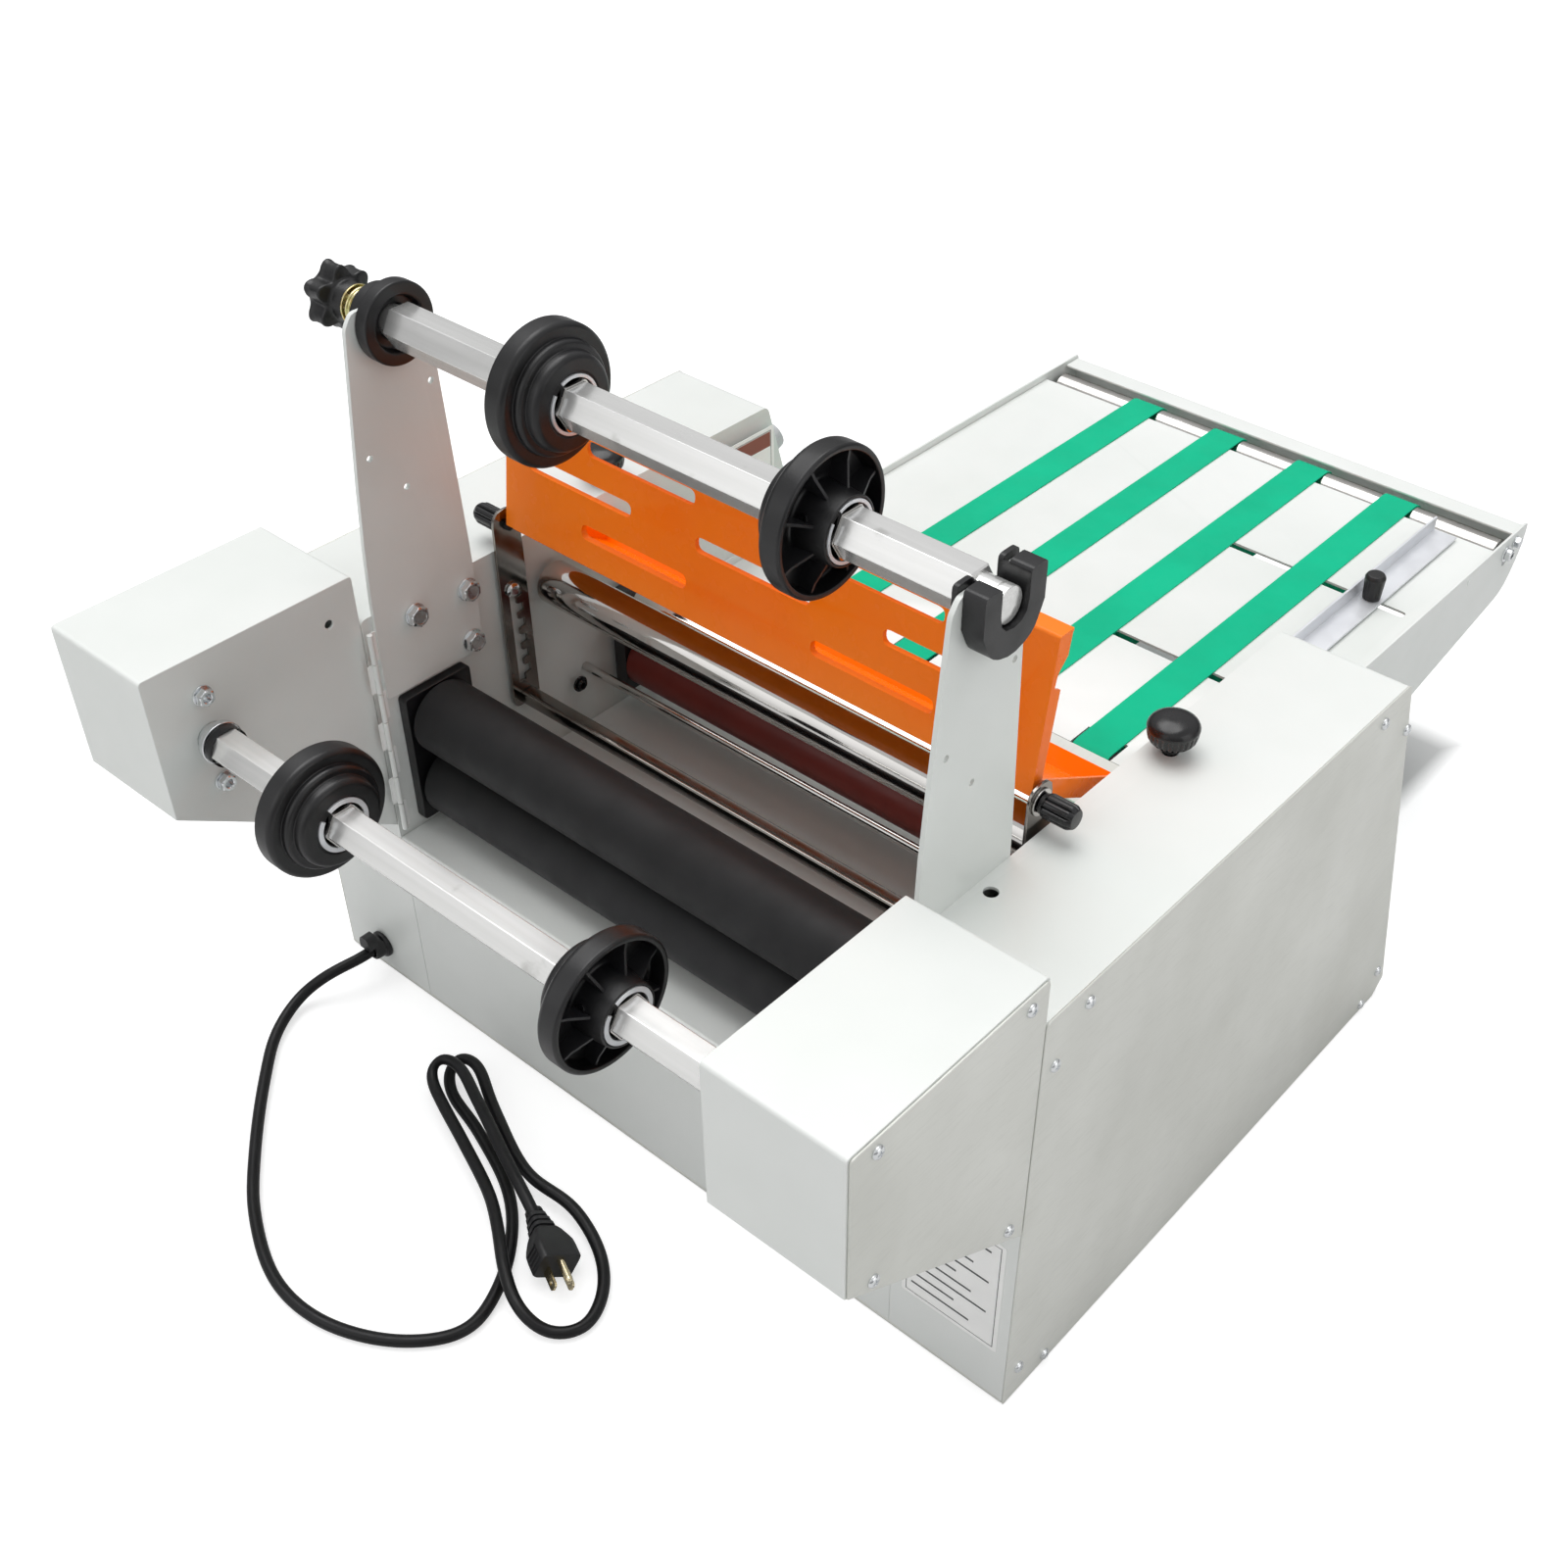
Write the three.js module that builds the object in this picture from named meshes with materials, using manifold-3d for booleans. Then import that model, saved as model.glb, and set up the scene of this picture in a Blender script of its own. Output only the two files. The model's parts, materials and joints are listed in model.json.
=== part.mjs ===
// Table-top cold roll laminator for sheets up to 390 mm wide, at real size in millimetres.
//
// X runs along the rollers, Y from the rewind side (front) to the infeed table (rear) and
// Z up. The lengths below are counted from the front faces of the two cabinets (y = 0), the
// middle plane between them (x = 0) and the table top it stands on (z = 0). The last lines
// move the origin to the middle of the base plate's underside.
import * as THREE from "three";
import { mergeVertices } from "three/addons/utils/BufferGeometryUtils.js";
import Module from "manifold-3d";

const wasm = await Module();
wasm.setup();

// ---------------------------------------------------------------- driving dimensions
const HALF_WIDTH = 310; // outside of the side plates
const HALF_GAP = 220; // inner walls of the cabinets
const SHEET = 2; // sheet metal of the housings
const RUNNING_GAP = 0.2; // between pieces that turn or slide on each other
const REST_GAP = 0.3; // between pieces of different housings

const CABINET_TOP = 332;
const CABINET_DEPTH_TOP = 379;
const CABINET_DEPTH_BASE = 473;
const BASE_THICKNESS = 3;
const BASE_MIDDLE_Y = 220;
const DECK_TOP = 155;
const DECK_DEPTH = 300;
const SIDE_PLATE = 1.5;

const REWIND_BOX_DEPTH = 151;
const REWIND_BOX_TOP = 366;
const REWIND_BOX_FRONT_BOTTOM = 265;
const REWIND_BOX_REAR_BOTTOM = 166;

const FILM_SHAFT = { y: 55, z: 515, acrossFlats: 24, journal: 10, hexStart: -206.5, hexEnd: 212, end: 230 };
const REWIND_SHAFT = { y: -115, z: 308, acrossFlats: 22, journal: 9 };
// Distances along a chuck, from the tip of its plug to the step, the rim and the hub's end.
const CHUCK = { radius: 41, plugRadius: 28, hubRadius: 20, step: 12.5, rim: 27, hubEnd: 38 };
const BRAKE_THREAD = 5; // radius of the thread that the brake knob runs on
const BRACKET_PLATE = 3;

const PULL_RADIUS = 26;
const PULL_UPPER = { y: 43, z: 241.5 };
const PULL_LOWER = { y: 43, z: 189.3 };
const NIP_RADIUS = 20;
const NIP_UPPER = { y: 222, z: 237.2 };
const NIP_LOWER = { y: 222, z: 197 };
const GUIDE_ROLLER = { y: 153, z: 291, radius: 15.5 };
const GUIDE_ROD = { y: 178.6, z: 204, radius: 3.2 };
const ROLLER_HALF = 208; // half length of the roller bodies
const SHAFT_RADIUS = 6;
const SHAFT_END = 221.5; // the roller shafts end in the bores of the cabinets' inner walls
const SHAFT_BORE = 7;

const GEAR_MODULE = 1.74;
const PULL_TEETH = 30;
const PINION_TEETH = 12;
const GEAR_X = { from: 224, to: 232 };
const PINION_DIRECTION = -Math.PI / 3; // from the lower pull roller towards the motor

const ARM = { x: 215, thickness: 2, front: 108, rear: 131, bottom: 207, studZ: 301, knobZ: 350 };
const ARM_MIDDLE_Y = (ARM.front + ARM.rear) / 2;
const DECURL_BAR = { height: 9, depth: 12, z: 213.5 };

const TABLE_TOP = 217;
const TABLE_FRONT = 262;
const TABLE_END = 795;
const BELT = { width: 29, thickness: 1, offsets: [-123, -41, 41, 123] };
const END_ROLLER = { y: 763, z: 202, radius: 15 };
const DRIVE_ROLLER = { y: 330, z: 205, radius: 12, tube: 9 };
const SLEEVE_HALF = 15.5; // half the width of a belt sleeve on the drive roller
const TABLE_AXLE_RADIUS = 4;
const TABLE_AXLE_BORE = 4.4;
const SLOT_Y = [454, 616];

const PRESSURE_KNOB = { x: 234.7, y: 225, radius: 15.7, height: 24 };
const DIAL = { x: -240, z: 288 }; // on the slanted back of the left cabinet
const SWITCH = { x: -278, z: 262 }; // beside the dial
const CORD_RADIUS = 4.2;
const CORD_EXIT = { x: -268.4, z: 24 };

const GUARD = {
  half: 212, thickness: 2, frontY: 117, bottomZ: 352, lean: 0.14, height: 98, topFlange: 12, sideFlange: 9,
};

// ---------------------------------------------------------------- materials
function material(name, color, roughness, metalness) {
  return new THREE.MeshStandardMaterial({ name, color, roughness, metalness });
}
const whitePaint = () => material("white_paint", 0xdadcd8, 0.45, 0.1);
const galvanised = () => material("galvanised", 0xb9bcba, 0.4, 0.9);
const aluminium = () => material("aluminium", 0xc9cbcc, 0.3, 1.0);
const chrome = () => material("chrome", 0xd8d8d8, 0.08, 1.0);
const nickel = () => material("nickel", 0x9a958d, 0.25, 1.0);
const blackRubber = () => material("black_rubber", 0x2a2a2c, 0.75, 0.0);
const redSilicone = () => material("red_silicone", 0x6e2722, 0.55, 0.0);
const blackPlastic = () => material("black_plastic", 0x1c1c1e, 0.45, 0.0);
const orangePaint = () => material("orange_paint", 0xe85a05, 0.25, 0.1);
const greenBelt = () => material("green_belt", 0x00b586, 0.6, 0.0);
const greyPlastic = () => material("grey_plastic", 0xb9bcbd, 0.5, 0.0);
const steel = () => material("steel", 0x8f9294, 0.4, 1.0);
const cordRubber = () => material("cord_rubber", 0x141416, 0.35, 0.0);

// ---------------------------------------------------------------- solids
const machine = new THREE.Group();

function add(name, geometry, surface) {
  const mesh = new THREE.Mesh(geometry, surface);
  mesh.name = name;
  machine.add(mesh);
}

function solidOf(geometry) {
  const bare = geometry.clone();
  bare.deleteAttribute("normal");
  bare.deleteAttribute("uv");
  const merged = mergeVertices(bare, 1e-4);
  const vertProperties = new Float32Array(merged.attributes.position.array);
  const triVerts = new Uint32Array(merged.index.array);
  return new wasm.Manifold(new wasm.Mesh({ numProp: 3, vertProperties, triVerts }));
}

function geometryOf(solid) {
  const { vertProperties, triVerts } = solid.getMesh();
  const geometry = new THREE.BufferGeometry();
  geometry.setAttribute("position", new THREE.BufferAttribute(vertProperties, 3));
  geometry.setIndex(new THREE.BufferAttribute(triVerts, 1));
  return geometry;
}

function cut(geometry, ...tools) {
  return geometryOf(tools.reduce((solid, tool) => solid.subtract(solidOf(tool)), solidOf(geometry)));
}

function join(geometry, ...others) {
  return geometryOf(others.reduce((solid, other) => solid.add(solidOf(other)), solidOf(geometry)));
}

function box([x0, x1], [y0, y1], [z0, z1]) {
  const geometry = new THREE.BoxGeometry(x1 - x0, y1 - y0, z1 - z0);
  return geometry.translate((x0 + x1) / 2, (y0 + y1) / 2, (z0 + z1) / 2);
}

// A closed outline from corners [u, v, radius]; a corner with a radius is rounded.
function outline(corners) {
  const shape = new THREE.Shape();
  corners.forEach(([u, v, radius = 0], i) => {
    const corner = new THREE.Vector2(u, v);
    const toLast = new THREE.Vector2(...corners.at(i - 1)).sub(corner).setLength(radius);
    const toNext = new THREE.Vector2(...corners[(i + 1) % corners.length]).sub(corner).setLength(radius);
    const start = corner.clone().add(toLast);
    const end = corner.clone().add(toNext);
    if (i === 0) shape.moveTo(start.x, start.y);
    else shape.lineTo(start.x, start.y);
    if (radius > 0) shape.quadraticCurveTo(u, v, end.x, end.y);
  });
  shape.closePath();
  return shape;
}

// A closed outline of straight lines through the points [u, v].
function polygon(points) {
  return new THREE.Shape(points.map(([u, v]) => new THREE.Vector2(u, v)));
}

// An outline in the (y, z) plane, extruded along X.
function prismX(shape, [x0, x1], curveSegments = 3) {
  const geometry = new THREE.ExtrudeGeometry(shape, { depth: x1 - x0, bevelEnabled: false, curveSegments });
  const turn = new THREE.Matrix4().makeBasis(
    new THREE.Vector3(0, 1, 0), new THREE.Vector3(0, 0, 1), new THREE.Vector3(1, 0, 0));
  return geometry.applyMatrix4(turn).translate(x0, 0, 0);
}

// An outline in the (x, y) plane, extruded upwards.
function prismZ(shape, [z0, z1], curveSegments = 3) {
  const geometry = new THREE.ExtrudeGeometry(shape, { depth: z1 - z0, bevelEnabled: false, curveSegments });
  return geometry.translate(0, 0, z0);
}

// A turned piece on an axis along X, from [radius, x] pairs in order of growing x.
function turnedX(profile, { y, z }, segments = 24) {
  const points = profile.map(([radius, x]) => new THREE.Vector2(radius, x));
  return new THREE.LatheGeometry(points, segments).rotateZ(-Math.PI / 2).translate(0, y, z);
}

// A turned piece on an axis along Z, from [radius, z] pairs in order of growing z.
function turnedZ(profile, { x, y, z }, segments = 24) {
  const points = profile.map(([radius, height]) => new THREE.Vector2(radius, height));
  return new THREE.LatheGeometry(points, segments).rotateX(Math.PI / 2).translate(x, y, z);
}

// A turned piece on the Y axis through the origin, from [radius, y] pairs in order of growing y.
function turnedY(profile, segments = 24) {
  return new THREE.LatheGeometry(profile.map(([radius, y]) => new THREE.Vector2(radius, y)), segments);
}

function rodX(radius, [x0, x1], axis, segments = 16) {
  return turnedX([[0, x0], [radius, x0], [radius, x1], [0, x1]], axis, segments);
}

function rodZ(radius, [z0, z1], { x, y }, segments = 16) {
  return turnedZ([[0, z0], [radius, z0], [radius, z1], [0, z1]], { x, y, z: 0 }, segments);
}

// A hexagonal bar along X; two of its flats face up and down.
function hexX(acrossFlats, [x0, x1], { y, z }) {
  const corner = acrossFlats / Math.sqrt(3);
  const corners = Array.from({ length: 6 }, (_, i) => {
    const angle = (i * Math.PI) / 3;
    return [y + corner * Math.cos(angle), z + corner * Math.sin(angle)];
  });
  return prismX(polygon(corners), [x0, x1]);
}

// The same piece on the other side of the middle plane, with its faces turned to point out again.
function mirrored(geometry) {
  const copy = geometry.clone().scale(-1, 1, 1);
  const indexed = copy.index ? copy : mergeVertices(copy);
  const corners = Array.from(indexed.index.array);
  for (let i = 0; i < corners.length; i += 3) {
    [corners[i], corners[i + 1]] = [corners[i + 1], corners[i]];
  }
  indexed.setIndex(corners);
  return indexed;
}

function bothSides(leftName, rightName, geometry, surface) {
  add(rightName, geometry, surface());
  add(leftName, mirrored(geometry), surface());
}

// ---------------------------------------------------------------- housings
const backSlope = (CABINET_DEPTH_BASE - CABINET_DEPTH_TOP) / CABINET_TOP;
const cabinetBackAt = (z) => CABINET_DEPTH_BASE - backSlope * z;

function cabinetOutline(inset, bottom) {
  const slantInset = inset * Math.hypot(1, backSlope);
  const top = CABINET_TOP - inset;
  const bend = 5 - inset;
  return outline([
    [inset, bottom],
    [cabinetBackAt(bottom) - slantInset, bottom],
    [cabinetBackAt(top) - slantInset, top, bend],
    [inset, top, bend],
  ]);
}

function addBase() {
  const plateX = [-HALF_WIDTH + SIDE_PLATE, HALF_WIDTH - SIDE_PLATE];
  const depth = CABINET_DEPTH_BASE - 5;
  add("base_plate", box(plateX, [0, depth], [0, BASE_THICKNESS]), galvanised());

  const half = HALF_GAP - REST_GAP;
  const panel = outline([
    [0, BASE_THICKNESS], [SHEET, BASE_THICKNESS], [SHEET, DECK_TOP - SHEET],
    [DECK_DEPTH - SHEET, DECK_TOP - SHEET], [DECK_DEPTH - SHEET, BASE_THICKNESS],
    [DECK_DEPTH, BASE_THICKNESS], [DECK_DEPTH, DECK_TOP, 2], [0, DECK_TOP, 2],
  ]);
  add("front_panel_deck", prismX(panel, [-half, half]), whitePaint());
}

function addCabinets() {
  const outer = [HALF_GAP, HALF_WIDTH - SIDE_PLATE];
  const hollow = prismX(cabinetOutline(SHEET, -10), [HALF_GAP + SHEET, HALF_WIDTH]);
  const innerWall = [HALF_GAP - 5, HALF_GAP + SHEET + 5];
  const topWall = [CABINET_TOP - 10, CABINET_TOP + 10];
  const rollerAxes = [PULL_UPPER, PULL_LOWER, NIP_UPPER, NIP_LOWER];
  const bores = rollerAxes.map((axis) => rodX(SHAFT_BORE, innerWall, axis));
  const driveBore = rodX(TABLE_AXLE_BORE, innerWall, DRIVE_ROLLER);
  const screwHole = rodZ(5, topWall, PRESSURE_KNOB);
  const oilHole = rodZ(4.5, topWall, { x: 229.8, y: 59.6 });
  const blank = prismX(cabinetOutline(0, BASE_THICKNESS), outer);
  const shell = cut(blank, hollow, ...bores, driveBore, screwHole, oilHole);
  const stud = rodX(2.5, [ARM.x - 1, HALF_GAP + 1], { y: ARM_MIDDLE_Y - 2, z: ARM.studZ }, 12);
  const shellWithStud = join(shell, stud);
  add("right_cabinet", shellWithStud, whitePaint());

  const switchHole = onSlantedBack(box([-8.6, 8.6], [-12, 12], [-12, 12]), SWITCH);
  const dialHole = onSlantedBack(turnedY([[0, -10], [5, -10], [5, 10], [0, 10]]), DIAL);
  const cordHole = turnedY([[0, -10], [6, -10], [6, 10], [0, 10]]).translate(CORD_EXIT.x, 0, CORD_EXIT.z);
  add("left_cabinet", cut(mirrored(shellWithStud), switchHole, dialHole, cordHole), whitePaint());

  const plate = outline([
    [0, 0], [CABINET_DEPTH_BASE - 12, 0], [CABINET_DEPTH_BASE, 12],
    [CABINET_DEPTH_TOP, CABINET_TOP, 4], [0, CABINET_TOP, 4],
  ]);
  const side = prismX(plate, [HALF_WIDTH - SIDE_PLATE, HALF_WIDTH]);
  bothSides("left_side_plate", "right_side_plate", side, galvanised);
}

// A piece built round the origin with +Y outwards, moved onto the slanted back.
function onSlantedBack(geometry, { x, z }) {
  return geometry.rotateX(Math.atan(backSlope)).translate(x, cabinetBackAt(z), z);
}

function addRewindBoxes() {
  const section = (inset) => outline([
    [-inset, REWIND_BOX_REAR_BOTTOM + inset * 2.2],
    [-inset, REWIND_BOX_TOP - inset, 3],
    [-REWIND_BOX_DEPTH + inset, REWIND_BOX_TOP - inset, 3],
    [-REWIND_BOX_DEPTH + inset, REWIND_BOX_FRONT_BOTTOM + inset],
  ]);
  const back = -REST_GAP;
  const body = prismX(section(0), [HALF_GAP, HALF_WIDTH - SIDE_PLATE]).translate(0, back, 0);
  const hollow = prismX(section(SHEET), [HALF_GAP + SHEET, HALF_WIDTH + 5]).translate(0, back, 0);
  const bore = rodX(14, [HALF_GAP - 5, HALF_GAP + 10], REWIND_SHAFT);
  add("right_rewind_box", cut(body, hollow, bore), whitePaint());

  const innerWall = [HALF_GAP - 5, HALF_GAP + 10];
  const closedHollow = prismX(section(SHEET), [HALF_GAP + SHEET, HALF_WIDTH - SIDE_PLATE - SHEET]);
  const rearOpening = box([HALF_GAP + 15, HALF_WIDTH - 20], [-10, 10], [190, 350]);
  const pinBore = rodX(REWIND_SHAFT.journal + 1, innerWall, REWIND_SHAFT);
  const smallHole = rodX(3, innerWall, { y: -22, z: 341 }, 12);
  const leftBody = cut(body, closedHollow, rearOpening, pinBore, smallHole);
  add("left_rewind_box", mirrored(leftBody), whitePaint());

  const cover = prismX(section(0), [HALF_WIDTH - SIDE_PLATE, HALF_WIDTH]).translate(0, back, 0);
  add("right_box_cover", cover, galvanised());
}

// ---------------------------------------------------------------- film supply shaft
function addFilmBrackets() {
  const notchHalf = 12.6;
  const top = FILM_SHAFT.z + 12;
  const plate = outline([
    [8, 268, 4], [8, 360, 60], [24, top - 8, 3], [30, top, 3],
    [FILM_SHAFT.y - notchHalf, top, 3],
    [FILM_SHAFT.y - notchHalf, FILM_SHAFT.z - notchHalf, notchHalf],
    [FILM_SHAFT.y + notchHalf, FILM_SHAFT.z - notchHalf, notchHalf],
    [FILM_SHAFT.y + notchHalf, top, 3],
    [77, top, 3], [82, top - 8, 3], [90, 340, 30], [90, 268, 4],
  ]);
  const span = [HALF_GAP - BRACKET_PLATE, HALF_GAP];
  const across = [HALF_GAP - 10, HALF_GAP + 10];
  const holes = [[25.7, 436.5], [48.7, 408], [78, 468]];
  const drills = holes.map(([y, z]) => rodX(2.2, across, { y, z }, 10));
  bothSides("left_film_bracket", "right_film_bracket", cut(prismX(plate, span), ...drills), whitePaint);
}

function addShaftSupports() {
  const { y, z } = FILM_SHAFT;
  const slotHalf = FILM_SHAFT.journal + 1;
  const wing = 24;
  const crook = outline([
    [y - wing, z - 6], [y - 17, z - 21, 6], [y, z - 28, 10], [y + 17, z - 21, 6], [y + wing, z - 6],
    [y + wing, z + 16, 3], [y + slotHalf, z + 16, 3], [y + slotHalf, z - slotHalf, slotHalf],
    [y - slotHalf, z - slotHalf, slotHalf], [y - slotHalf, z + 16, 3], [y - wing, z + 16, 3],
  ]);
  const groove = [HALF_GAP - BRACKET_PLATE - REST_GAP, HALF_GAP + REST_GAP];
  const inner = prismX(crook, [groove[0] - 3, groove[0]]);
  const outer = prismX(crook, [groove[1], groove[1] + 13]);
  const neck = FILM_SHAFT.journal + 2.2;
  const web = prismX(outline([
    [y - neck, z + 14], [y - neck, z - neck, neck], [y + neck, z - neck, neck], [y + neck, z + 14],
    [y + slotHalf, z + 14], [y + slotHalf, z - slotHalf, slotHalf],
    [y - slotHalf, z - slotHalf, slotHalf], [y - slotHalf, z + 14],
  ]), groove);
  add("shaft_cradle", join(inner, web, outer), blackPlastic());

  const bore = FILM_SHAFT.journal + RUNNING_GAP;
  const collarStart = -HALF_GAP + BRACKET_PLATE + REST_GAP;
  const collarEnd = FILM_SHAFT.hexStart - 0.5;
  const bushing = turnedX([
    [bore, -230], [12, -230], [12, collarStart], [25, collarStart],
    [25, collarEnd - 2], [23, collarEnd], [bore, collarEnd], [bore, -230],
  ], FILM_SHAFT);
  add("shaft_bushing", bushing, blackPlastic());
}

function addFilmShaft() {
  const { journal, hexStart, hexEnd, end } = FILM_SHAFT;
  const bar = hexX(FILM_SHAFT.acrossFlats, [hexStart, hexEnd], FILM_SHAFT);
  const rightEnd = turnedX([
    [0, hexEnd - 5], [journal, hexEnd - 5], [journal, end - 1], [journal - 1, end], [0, end],
  ], FILM_SHAFT);
  const leftEnd = turnedX([
    [0, -266], [BRAKE_THREAD, -266], [BRAKE_THREAD, -234], [journal, -234], [journal, -190], [0, -190],
  ], FILM_SHAFT);
  add("film_shaft", join(bar, rightEnd, leftEnd), aluminium());

}

function addBrake() {
  const coils = 3;
  const pitch = 2.6;
  const coilRadius = 11;
  const pointsPerCoil = 10;
  const springPath = new THREE.CatmullRomCurve3(
    Array.from({ length: coils * pointsPerCoil + 1 }, (_, i) => {
      const turns = i / pointsPerCoil;
      const angle = turns * 2 * Math.PI;
      return new THREE.Vector3(
        -235.6 - turns * pitch,
        FILM_SHAFT.y + coilRadius * Math.cos(angle),
        FILM_SHAFT.z + coilRadius * Math.sin(angle));
    }));
  add("brake_spring", wireAlong(springPath, 1.1, coils * 12, 5), steel());

  const lobes = 6;
  const corners = lobes * 6;
  const star = polygon(Array.from({ length: corners }, (_, i) => {
    const angle = (i / corners) * 2 * Math.PI;
    const radius = 20 + 3 * Math.cos(lobes * angle);
    return [FILM_SHAFT.y + radius * Math.cos(angle), FILM_SHAFT.z + radius * Math.sin(angle)];
  }));
  const head = prismX(star, [-272, -256]);
  const neck = rodX(12, [-257, -246], FILM_SHAFT);
  const threadBore = rodX(BRAKE_THREAD + RUNNING_GAP, [-268, -240], FILM_SHAFT);
  add("brake_star_knob", cut(join(head, neck), threadBore), blackPlastic());
}

// A round wire swept along a curve.
function wireAlong(path, radius, steps, sides) {
  const round = polygon(Array.from({ length: sides }, (_, i) => {
    const angle = (i / sides) * 2 * Math.PI;
    return [radius * Math.cos(angle), radius * Math.sin(angle)];
  }));
  return new THREE.ExtrudeGeometry(round, { steps, extrudePath: path, bevelEnabled: false });
}

// A core chuck: a stepped plug that enters the film core, and a hollow ribbed flange with a
// longer hub. The plug's tip is at `tip` and the flange lies towards +X; `mirror` turns it round.
function coreChuck(bore, axis, tip, mirror) {
  const s = mirror ? -1 : 1;
  const { radius, plugRadius, hubRadius, step, rim, hubEnd } = CHUCK;
  const wall = 4;
  const local = [
    [bore, 0], [plugRadius - 2, 0], [plugRadius, 3], [plugRadius, step - 2], [radius - 1.5, step],
    [radius, step + 2], [radius, rim - 1], [radius - 1, rim], [radius - wall, rim],
    [radius - wall - 1, step + wall], [hubRadius, step + wall], [hubRadius - 1, hubEnd],
    [bore, hubEnd], [bore, 0],
  ];
  const profile = local.map(([r, t]) => [r, tip + s * t]);
  if (mirror) profile.reverse();
  const disc = turnedX(profile, axis, 20);
  const ribs = Array.from({ length: 8 }, (_, i) => {
    const ends = [tip + s * (step + wall - 1), tip + s * (rim - 1)];
    const rib = box([Math.min(...ends), Math.max(...ends)], [-1.2, 1.2], [hubRadius - 1.5, radius - wall]);
    return rib.rotateX((i * Math.PI) / 4 + Math.PI / 12).translate(0, axis.y, axis.z);
  });
  return join(disc, ...ribs);
}

function addChucks() {
  const filmBore = FILM_SHAFT.acrossFlats / Math.sqrt(3) + RUNNING_GAP + 0.2;
  const rewindBore = REWIND_SHAFT.acrossFlats / Math.sqrt(3) + RUNNING_GAP + 0.2;
  add("film_chuck_left", coreChuck(filmBore, FILM_SHAFT, -62, true), blackPlastic());
  add("film_chuck_right", coreChuck(filmBore, FILM_SHAFT, 95, false), blackPlastic());
  add("rewind_chuck_left", coreChuck(rewindBore, REWIND_SHAFT, -96, true), blackPlastic());
  add("rewind_chuck_right", coreChuck(rewindBore, REWIND_SHAFT, 95, false), blackPlastic());
}

// ---------------------------------------------------------------- rewind shaft
function addRewindShaft() {
  const { journal } = REWIND_SHAFT;
  const bar = hexX(REWIND_SHAFT.acrossFlats, [-207, 240], REWIND_SHAFT);
  const leftEnd = rodX(journal, [-232, -200], REWIND_SHAFT);
  add("rewind_shaft", join(bar, leftEnd), aluminium());

  const bore = journal + RUNNING_GAP;
  const collar = turnedX([
    [bore, -234], [journal + 0.8, -234], [journal + 0.8, -HALF_GAP + REST_GAP],
    [14, -HALF_GAP + REST_GAP], [14, -211], [12.5, -209.5], [bore, -209.5], [bore, -234],
  ], REWIND_SHAFT, 24);
  add("rewind_bearing", collar, steel());

  const hub = turnedX([
    [0, 240.2], [20, 240.2], [20, 250], [30, 250], [30, 262], [12, 262], [12, 280], [0, 280],
  ], REWIND_SHAFT);
  add("rewind_clutch", hub, steel());
}

// ---------------------------------------------------------------- rollers
// A roller of half length `half` on a shaft that ends at `left` and `right` of the middle plane.
function roller(radius, axis, half = ROLLER_HALF, shaft = SHAFT_RADIUS, left = SHAFT_END, right = SHAFT_END) {
  return turnedX([
    [0, -left], [shaft, -left], [shaft, -half], [radius, -half],
    [radius, half], [shaft, half], [shaft, right], [0, right],
  ], axis);
}

// A spur gear on an axis along X; `phase` is the direction of its first tooth.
function gearX(teeth, [x0, x1], axis, phase) {
  const pitch = (GEAR_MODULE * teeth) / 2;
  const tip = pitch + 0.8 * GEAR_MODULE;
  const root = pitch - 1.1 * GEAR_MODULE;
  const step = (2 * Math.PI) / teeth;
  // One tooth as [radius, share of the tooth step] from its middle line.
  const tooth = [[root, -0.29], [tip, -0.13], [tip, 0.13], [root, 0.29]];
  const points = Array.from({ length: teeth }, (_, i) => tooth.map(([radius, share]) => {
    const angle = phase + (i + share) * step;
    return [axis.y + radius * Math.cos(angle), axis.z + radius * Math.sin(angle)];
  })).flat();
  return prismX(polygon(points), [x0, x1]);
}

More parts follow.
